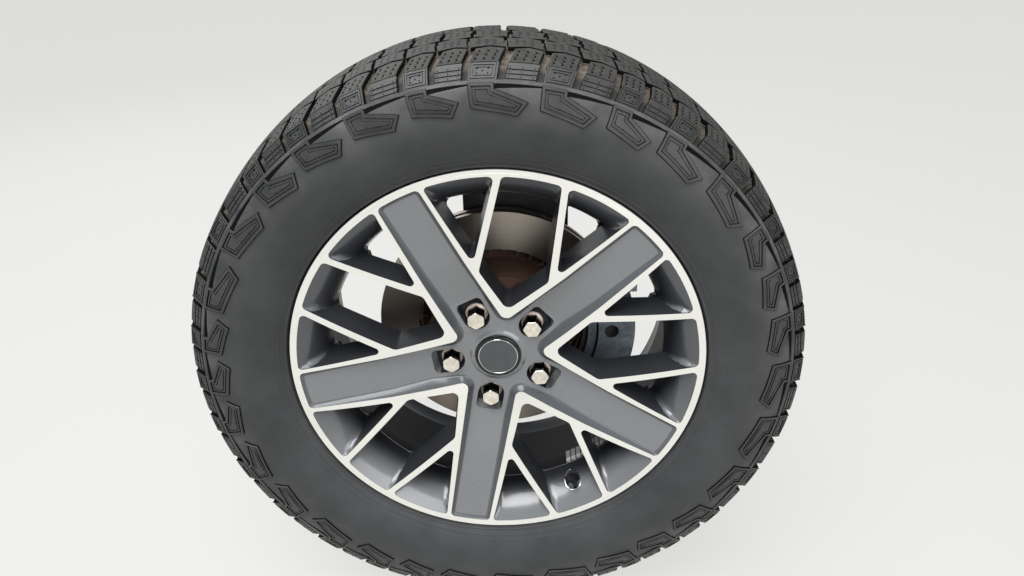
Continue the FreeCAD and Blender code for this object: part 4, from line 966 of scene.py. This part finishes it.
wall_heights = [(0, 0), (0.8, 0.9), (2.6, 0.9), (3.4, 0), (9.8, 0), (10.2, 0.35), (11.0, 0.35), (11.4, 0),
                (16.8, 0), (17.2, 0.2), (17.6, 0.2), (18.0, 0)]
wall_heights += [(s, 0) for s in np.linspace(24, S_RIDGE - 4, 18)]
wall_heights += [(S_RIDGE - 2.8, -0.4), (S_RIDGE - 2.2, 1.4), (S_RIDGE + 1.4, 1.5), (S_RIDGE + 2.0, 0.8)]
groove_heights = [(S_RIDGE + 2.6, -3.0), (S_RIDGE + 6, -5.0), (S_SHOULDER - 3, -7.0),
                  (S_SHOULDER + 3, -GROOVE_DEPTH)]
groove_heights += [(s, -GROOVE_DEPTH) for s in np.linspace(S_SHOULDER + 10, S_CROWN, 9)]
outer = skin(wall_heights + groove_heights, False)
inner = skin(wall_heights + groove_heights[:-1], True)
# Radius and distance from the tyre's middle of the bead's foot, and of the air side of the walls.
bead_half = [(254.3, 101.3), (265.3, 101.3), (272.1, 107.8)]
cavity_half = [(254.6, 85), (290, 104), (340, 126), (372, 104)]
bead = [(r, CENTRE - width) for r, width in bead_half]
bead_in = [(r, CENTRE + width) for r, width in bead_half[::-1]]
cavity = [(r, CENTRE + width) for r, width in cavity_half + [(378, 0)]]
cavity += [(r, CENTRE - width) for r, width in cavity_half[::-1]]
carcass = Shell()
SIDE, DUST = 0, 1
outer_rows = lathe(bead + outer, TYRE_ROUND)
inner_rows = lathe(inner[::-1] + bead_in, TYRE_ROUND)
side_count, groove_count = len(bead) + len(wall_heights) - 1, len(groove_heights)
carcass.strips(outer_rows[:side_count + 1], SIDE)
carcass.strips(outer_rows[side_count:] + inner_rows[:groove_count], DUST)
carcass.strips(inner_rows[groove_count - 1:], SIDE)
carcass.strips(lathe([bead_in[-1]] + cavity + [bead[0]], TYRE_ROUND), SIDE)
carcass_piece = carcass.piece("tyre_carcass", [sidewall_rubber, groove_dust], sharp=24)

# %% [markdown]
# ## Claws and shoulder blocks
# The claws on the sidewall bite in mud and guard the carcass from stones. Each has a raised frame, a
# second frame inside a channel, and a flat heart with black pips where the mould was vented. Over the
# ridge stand two kinds of block in turn: a square with a frame inside a frame, and a longer one with
# three ribs. A thin black wedge under the ridge stands for the deep shadow beside each claw.

# %% Sidewall forms
# Shares of the pitch, and distances under the ridge.
claw_corners = ((0.0, 1.0), (0.02, 27.5), (0.69, 36.0), (0.83, 21.0), (0.354, 8.2), (0.345, 1.0))
wedge_corners = ((0.36, 7.2), (0.37, 7.6), (0.8, 5.2), (0.99, 3.8), (0.99, 2.2), (0.36, 2.2))
CLAW, WEDGE = ([(f, S_RIDGE - down) for f, down in corners] for corners in (claw_corners, wedge_corners))


def shrink(outline, pitch, distance):
    """The same outline inset by a distance, as shares again."""
    stretch = (pitch_length(pitch), 1)
    return inset(np.array(outline) * stretch, distance) / stretch


def pip(f, s, pitch, size):
    """A tiny round outline for a vent mark."""
    return np.array((f, s)) + ring(size, 6) / (pitch_length(pitch), 1)


# Slots for the top, the walls and the foot of a block. Slot 1, on walls and gaps, is the rubber that paints
# shade.
BLACK, RAISED, DUSTY = (1, 1, 1), (0, 1, 1), (0, 1, 2)
claws = Shell()
for pitch, inboard in EVERY_PITCH:
    block = partial(raise_block, claws, pitch, inboard)
    block(CLAW, 2.6, -0.5, RAISED, 0.5, 0.9, [shrink(CLAW, pitch, 3.4)])
    block(shrink(CLAW, pitch, 5.0), 1.8, -0.5, RAISED, 0.3, 0.1, [shrink(CLAW, pitch, 7.0)])
    block(shrink(CLAW, pitch, 7.9), 1.6, -1.5, RAISED, 0.3, 0.1)
    for f, down in ((0.13, 19.0), (0.30, 22.0), (0.47, 25.5), (0.62, 26.5)):
        block(pip(f, S_RIDGE - down, pitch, 0.55), 1.9, 1.2, BLACK, 0.12, 0.1)
    block(WEDGE, 0.15, -0.5, BLACK, 0.1, 0.1)
claws_piece = claws.piece("tyre_claws", [form_rubber, shadow_rubber], sharp=30)

# %% Shoulder side blocks
LEAN = 0.0017
TOP = S_SHOULDER - S_RIDGE


def leaning(f_low, f_high, low, high):
    """A block's outline between two shares and two heights over the ridge, leaning with the grooves."""
    corners = ((f_low, low), (f_high, low), (f_high, high), (f_low, high))
    return [(f + LEAN * up, S_RIDGE + up) for f, up in corners]


shoulders = Shell()
for pitch, inboard in EVERY_PITCH:
    block = partial(raise_block, shoulders, pitch, inboard)
    for f_low, f_high, top in ((0.0, 0.385, 0.6), (0.495, 0.905, 0.4)):
        block(leaning(f_low, f_high, 1.0, TOP - 1.0), top, -GROOVE_DEPTH, DUSTY, 0.4, 0.4)
    square = leaning(0.035, 0.35, 3.6, TOP - 2.2)
    for first, second, top in ((0, 1.7, 1.9), (3.2, 4.6, 1.7)):
        block(shrink(square, pitch, first), top, 0.0, RAISED, 0.25, 0.1, [shrink(square, pitch, second)])
    for f, up in ((0.115, 9.5), (0.255, 9.5), (0.185, 12.2), (0.115, 15.0), (0.255, 15.0)):
        block(pip(f + LEAN * up, S_RIDGE + up, pitch, 0.8), 1.3, 0.2, BLACK, 0.1, 0.1)
    for bar in ((0.0, 0.022), (0.363, 0.385)):
        block(leaning(*bar, 1.5, TOP - 1.2), 1.7, 0.0, RAISED, 0.25, 0.1)
    for low in (3.2, 8.6, 14.0):
        block(leaning(0.50, 0.90, low, low + 3.6), 1.9, 0.0, RAISED, 0.5, 0.2)
        for f in (0.54, 0.70, 0.86):
            block(pip(f + LEAN * low, S_RIDGE + low + 1.8, pitch, 0.7), 2.3, 1.5, BLACK, 0.1, 0.1)
shoulders_piece = shoulders.piece("tyre_shoulder_blocks", [form_rubber, shadow_rubber, groove_dust], sharp=30)

# %% [markdown]
# ## The tread
# Five rows of blocks cross the crown. The shoulder blocks are siped with short curved slots, the inner
# rows with long zigzag ones. A sipe is about a millimetre wide: it opens on wet road and its edges grip.

# %% Tread rows
SLOT_LINE = [(-2.08, 4.5), (0.0, 1.53), (0.0, -1.53), (-2.08, -4.5)]
SLOT_WIDTH, ZIGZAG_WIDTH, ZIGZAG_SWING = 1.8, 1.0, 1.8


def widened(line, half):
    """The outline of a slot along a line, from half its width."""
    return [(f - half, s) for f, s in line] + [(f + half, s) for f, s in line[::-1]]


def slot_at(f, s, pitch):
    """A short curved slot across the block."""
    length = pitch_length(pitch)
    return widened([(f + x / length, s + y) for x, y in SLOT_LINE], SLOT_WIDTH / 2 / length)


def zigzag(f, low, high, pitch, teeth=5):
    """A thin zigzag slot along the section."""
    swing = ZIGZAG_SWING / pitch_length(pitch)
    line = [(f + (swing if k % 2 else -swing), low + (high - low) * k / teeth) for k in range(teeth + 1)]
    return widened(line, ZIGZAG_WIDTH / 2 / pitch_length(pitch))


tread = Shell()


def tread_block(pitch, inboard, outline, holes):
    """A block of the tread, from below the groove's floor up to the tyre's skin."""
    raise_block(tread, pitch, inboard, outline, 0.0, -GROOVE_DEPTH - 2, DUSTY, 0.7, 0.8, holes)


for pitch, inboard in EVERY_PITCH:
    for f0, f1, g0, g1 in ((0.03, 0.41, 0.10, 0.48), (0.54, 0.925, 0.61, 0.995)):
        corners = ((f0, 0.9), (f1, 0.9), (f1 + 0.03, 22), (g1, 44), (g1 - 0.20, 50), (g0, 43),
                   (f0 + 0.035, 18))
        tread_block(pitch, inboard, [(f, S_SHOULDER + up) for f, up in corners],
                    [slot_at(f0 + 0.07 + 0.115 * k + 0.0018 * up, S_SHOULDER + up, pitch)
                     for k in range(3) for up in (9.0, 21.0, 33.0)])
    low, high = S_SHOULDER + 54, S_SHOULDER + 91
    for f0 in (0.0, 0.50):
        corners = [(0.03, low - 4), (0.30, low + 3), (0.49, low - 3), (0.46, low + 17), (0.46, high - 3),
                   (0.24, high + 3), (0.0, high - 3), (0.015, low + 20)]
        tread_block(pitch, inboard, [(f0 + f, s) for f, s in corners],
                    [zigzag(f0 + f, low + 4, high - 6, pitch) for f in (0.13, 0.235, 0.34)])
low, high = S_CROWN - 21, S_CROWN + 21
for pitch in range(len(PITCHES)):
    for f0 in (0.06, 0.56):
        corners = [(0.0, low + 3), (0.2, low - 2), (0.45, low + 3), (0.43, low + 18), (0.46, high - 3),
                   (0.23, high + 2), (0.0, high - 2), (0.02, high - 18)]
        tread_block(pitch, False, [(f0 + f, s) for f, s in corners],
                    [zigzag(f0 + f, low + 5, high - 5, pitch, 6) for f in (0.11, 0.225, 0.335)])
tread_piece = tread.piece("tyre_tread_blocks", [tread_rubber, shadow_rubber, groove_dust], sharp=30)
for made in (carcass_piece, claws_piece, shoulders_piece, tread_piece):
    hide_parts("tyre")

# %% [markdown]
# ## Nuts, cap and valve
# The nuts are plated steel. Their faces stay bright, their flats are drawn dark as a painted reflection,
# and their collars press on copper-tinted seats drawn pale as a painted reflection. The cap is glossy
# plastic with a chromed ring. The valve is a rubber snap-in one that leans towards the driver's hand,
# with a ribbed plastic cap.

# %% Metal and plastic finishes
def worn_metal(name, dark, light, patch_size, rough_low, rough_high, metallic=1.0, relief=0.15, coat=0.0):
    """A surface whose tone and polish drift between two values over patches of a size in metres."""
    material, tree = new_material(name)
    patches = noise(tree, object_place(tree), 1 / patch_size, 8.0, 0.65)
    spread = remap(tree, patches, (0.35, 0.65))
    surface(tree, mix(tree, spread, dark, light), remap(tree, spread, new=(rough_high, rough_low)),
            (patches, relief, patch_size / 12), {"Metallic": metallic, "Coat Weight": coat})
    return material


# Bright plating on the nuts' faces, and the same steel drawn dark on their flats as a painted reflection.
nut_steel = worn_metal("plated_nut_steel", "#d3ccc1", "#eee8dc", 0.009, 0.12, 0.24, 1.0, 0.01)
nut_flats = worn_metal("nut_steel_painted_dark_reflection", "#3b3c3c", "#565655", 0.009, 0.16, 0.3, 1.0, 0.01)
# The copper-tinted seat under each nut, drawn pale with little metal as a painted reflection.
seat_copper = worn_metal("copper_seat_painted_reflection", "#d8c2b5", "#f2e2d8", 0.006, 0.3, 0.45, 0.2, 0.05)
# Glossy moulded plastic: the cap's black skirt and its lacquered grey face.
gloss_black = worn_metal("gloss_black_abs", "#0c0d0e", "#141516", 0.03, 0.08, 0.16, 0.0, 0.02)
cap_grey = worn_metal("dark_grey_gloss_abs", "#373d40", "#434a4d", 0.03, 0.12, 0.2, 0.2, 0.02, 0.8)
# Chrome plate over plastic.
bright_ring = worn_metal("chromed_plastic_ring", "#b9bab8", "#dfe0de", 0.01, 0.08, 0.2)
# The valve's soft black rubber, and the hard plastic of its cap.
valve_rubber = worn_metal("valve_rubber_black", "#0c0c0c", "#171717", 0.01, 0.5, 0.7, 0.0, 0.1)
cap_nylon = worn_metal("scuffed_grey_nylon", "#3d4042", "#575a5c", 0.003, 0.5, 0.7, 0.0, 0.2)
print("small parts:", nut_steel.name, gloss_black.name, valve_rubber.name)

# %% Nuts
NUT_FACE, NUT_CORNER = 21.5, 12.6
# How far each nut happens to be turned, in degrees.
NUT_TURNS = [2.0, 90.0, 90.0, 90.0, 4.0]
COLLAR = ((10.8, 42.3), (12.6, 42.9), (14.5, 43.9), (15.0, 45.4), (13.1, 48.0), (8.2, 53.5))
FACE, SEAT, FLATS = range(3)
for number, (centre, turn) in enumerate(zip(NUT_CENTRES, NUT_TURNS), 1):
    hexagon = dense(rounded([(x, z, 0.6) for x, z in turned(ring(NUT_CORNER, 6), turn)], 3), 1.6)
    crown = hexagon * np.minimum(0.985, 11.7 / radii(hexagon)[:, None])
    bottom, shoulder, top, rim_of_face = (placed(centre + loop, depth) for loop, depth in (
        (hexagon, 43.5), (hexagon, NUT_FACE + 1.0), (crown, NUT_FACE + 0.3), (crown * 0.97, NUT_FACE)))
    nut = Shell()
    nut.strips([bottom, shoulder, top], FLATS)
    nut.strips([top, rim_of_face], FACE)
    # The face bulges by half a millimetre.
    nut.fill([crown * 0.97], lambda flat: placed(centre + flat, NUT_FACE - 0.5 * (1 - radii(flat) / 12)),
             FACE, grid_in(crown * 0.9, 2.5, 0.5))
    nut.strips([placed(centre + ring(radius, SMALL_ROUND), depth) for radius, depth in COLLAR], SEAT)
    nut_piece = nut.piece(f"nut_{number}", [nut_steel, seat_copper, nut_flats], sharp=30)
    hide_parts(f"lug_nut_{number}")

# %% Cap
CAP_ROUND = 128
skirt = [(27.5, 50), (30.9, 50), (30.9, 28.6), (30.5, 27.7), (29.6, 27.2), (28.8, 27.2), (28.6, 27.5),
         (28.4, 27.5), (28.2, 27.2), (27.3, 27.3), (26.7, 28.0)]
chrome = [(26.7, 28.0), (26.6, 27.1), (26.2, 26.8), (25.6, 26.8), (25.3, 27.1), (25.2, 27.6)]
dome = [(25.2, 27.6)] + [(r, 27.9 - 0.9 * (1 - (r / 25.2) ** 2)) for r in (24.6, 20, 15, 10, 5, 0.5)]
cap = Shell()
for slot, pairs in enumerate((skirt, chrome, dome)):
    cap.strips(rings(pairs, CAP_ROUND), slot)
cap_piece = cap.piece("cap_with_ring", [gloss_black, bright_ring, cap_grey], sharp=35)
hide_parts("centre_cap")

# %% Valve
RIBS, RIB_DEPTH = 24, 0.06
valve = Shell()
stem = [(9.0, -13), (9.3, -12), (9.3, -9), (5.7, -8.5), (5.7, -6.9), (8.2, -6.7), (7.8, -5.0), (6.2, 2.0),
        (5.6, 12.5), (5.0, 13.2), (3.6, 13.4)]
valve.strips(round_valve(stem), 0)
grip = [(4.4, 13.6), (4.75, 14.0), (4.75, 22.6), (4.3, 24.2), (3.4, 24.9), (0.3, 25.0)]
ribbed = round_valve(grip, RIBS * 4)
wave = 1 - RIB_DEPTH * (np.arange(RIBS * 4) % 4 >= 2)
for row in ribbed[1:4]:
    middle = row.mean(axis=0)
    row[:] = middle + (row - middle) * wave[:, None]
valve.strips(ribbed[:4], 0)
valve.strips(ribbed[3:], 1)
valve_piece = valve.piece("snap_in_valve", [valve_rubber, cap_nylon], sharp=35)
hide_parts("valve_stem")

# %% [markdown]
# ## What shows between the ribs
# Behind the wheel sit the brake and the hub. The disc's rubbed faces are bright iron with fine circles,
# bronzed by a film of rust, and everything the pads do not touch is brown. The caliper and its bracket are
# cast iron under bluish zinc. The hub and housing are forged steel, the shield is black coated sheet.

# %% Brake and hub finishes
# Where the pads rub, as radii in metres.
RUBBED_FROM, RUBBED_TO = 0.112, 0.1735
# Grey cast iron, rubbed bright between those radii and rusty elsewhere.
disc_iron, tree = new_material("rubbed_cast_iron")
place, radius, _ = radius_and_depth(tree)
scratches = ring_noise(tree, radius, 520.0, 6.0, 0.7)
rubbed = calculate(tree, "MULTIPLY", calculate(tree, "GREATER_THAN", radius, RUBBED_FROM),
                   calculate(tree, "LESS_THAN", radius, RUBBED_TO))
iron = mix(tree, scratches, "#857a70", "#b9b1a7")
brown = mix(tree, noise(tree, place, 30.0, 8.0, 0.65), "#3b2a22", "#6b4e3e")
surface(tree, mix(tree, rubbed, brown, iron), remap(tree, rubbed, new=(0.8, 0.36)),
        (scratches, 0.25, 0.0003), {"Metallic": remap(tree, rubbed, new=(0.1, 0.95))})

# Zinc plate, rough on the caliper's cast iron and smoother on bolts, pins and studs.
zinc_iron = worn_metal("zinc_plated_iron", "#5f6870", "#97a0a8", 0.02, 0.35, 0.6, 0.7, 0.4)
zinc_steel = worn_metal("zinc_plated_steel", "#7c7f83", "#b4b6b8", 0.008, 0.25, 0.45, 0.9, 0.2)
# Forged steel with its dark scale and a little rust.
forged_steel = worn_metal("forged_hub_steel", "#3a3533", "#5d554f", 0.015, 0.5, 0.75, 0.5, 0.5)
# Sheet steel under a black coat.
shield_black = worn_metal("coated_shield_sheet", "#1d1e20", "#2b2b2c", 0.03, 0.45, 0.65, 0.0, 0.2)
# Hard chrome, ground smooth.
piston_chrome = worn_metal("chromed_piston", "#a9abae", "#cfd1d3", 0.01, 0.1, 0.25)
# Pressed fibres, metal chips and resin.
pad_lining = worn_metal("pad_friction_lining", "#2c2a29", "#4d4742", 0.0012, 0.75, 0.95, 0.1, 0.6)

WEIGHT_PITCH = math.radians(2.1)
GAP_SHARE = 0.2


def weight_zinc(name):
    """Zinc weights on a strip: painted shade in the gap between two weights, and bright on the lip in front.
    """
    x, y, z = np.array([tuple(v.co) for v in nodes[name].data.vertices]).T
    gap = np.angle(np.exp(2j * math.pi * np.arctan2(z, x) / WEIGHT_PITCH).mean()) / (2 * math.pi)
    material = worn_metal("coated_zinc_" + name, "#8b8e8c", "#bcbfbc", 0.0015, 0.4, 0.6, 0.2, 0.5)
    tree = material.node_tree
    parts = node(tree, "SeparateXYZ", {"Vector": object_place(tree)}).outputs
    angle = calculate(tree, "ARCTAN2", parts["Z"], parts["X"])
    count = calculate(tree, "MULTIPLY_ADD", angle, 1 / WEIGHT_PITCH, GAP_SHARE / 2 - gap)
    # Near black where the gap between two weights lies: painted shade.
    gap_shade = calculate(tree, "LESS_THAN", calculate(tree, "FRACT", count), GAP_SHARE)
    in_front = calculate(tree, "LESS_THAN", parts["Y"], float(y.min()) + 0.007)
    bright = mix(tree, in_front, base_of(tree), "#eeefeb")
    repaint(tree, mix(tree, gap_shade, bright, "#0e0f11"))
    return material


def dress(material, *names):
    """Gives CAD nodes their material."""
    for name in names:
        nodes[name].data.materials.clear()
        nodes[name].data.materials.append(material)


dress(disc_iron, "brake_disc")
dress(zinc_iron, "caliper_housing", "caliper_bracket")
dress(zinc_steel, "bleed_screw", "bracket_bolts", "brake_hose_union", "guide_pin_lower", "guide_pin_upper",
      "wheel_studs")
dress(forged_steel, "bearing_housing", "brake_carrier_plate", "wheel_hub")
dress(shield_black, "splash_shield")
dress(piston_chrome, "caliper_piston")
dress(pad_lining, "brake_pad_inner", "brake_pad_outer")
for name in ("balance_weights_outer", "balance_weights_inner"):
    dress(weight_zinc(name), name)
shown = [name for name in nodes if nodes[name].data.materials and not nodes[name].hide_render]
print("dressed nodes:", len(shown))
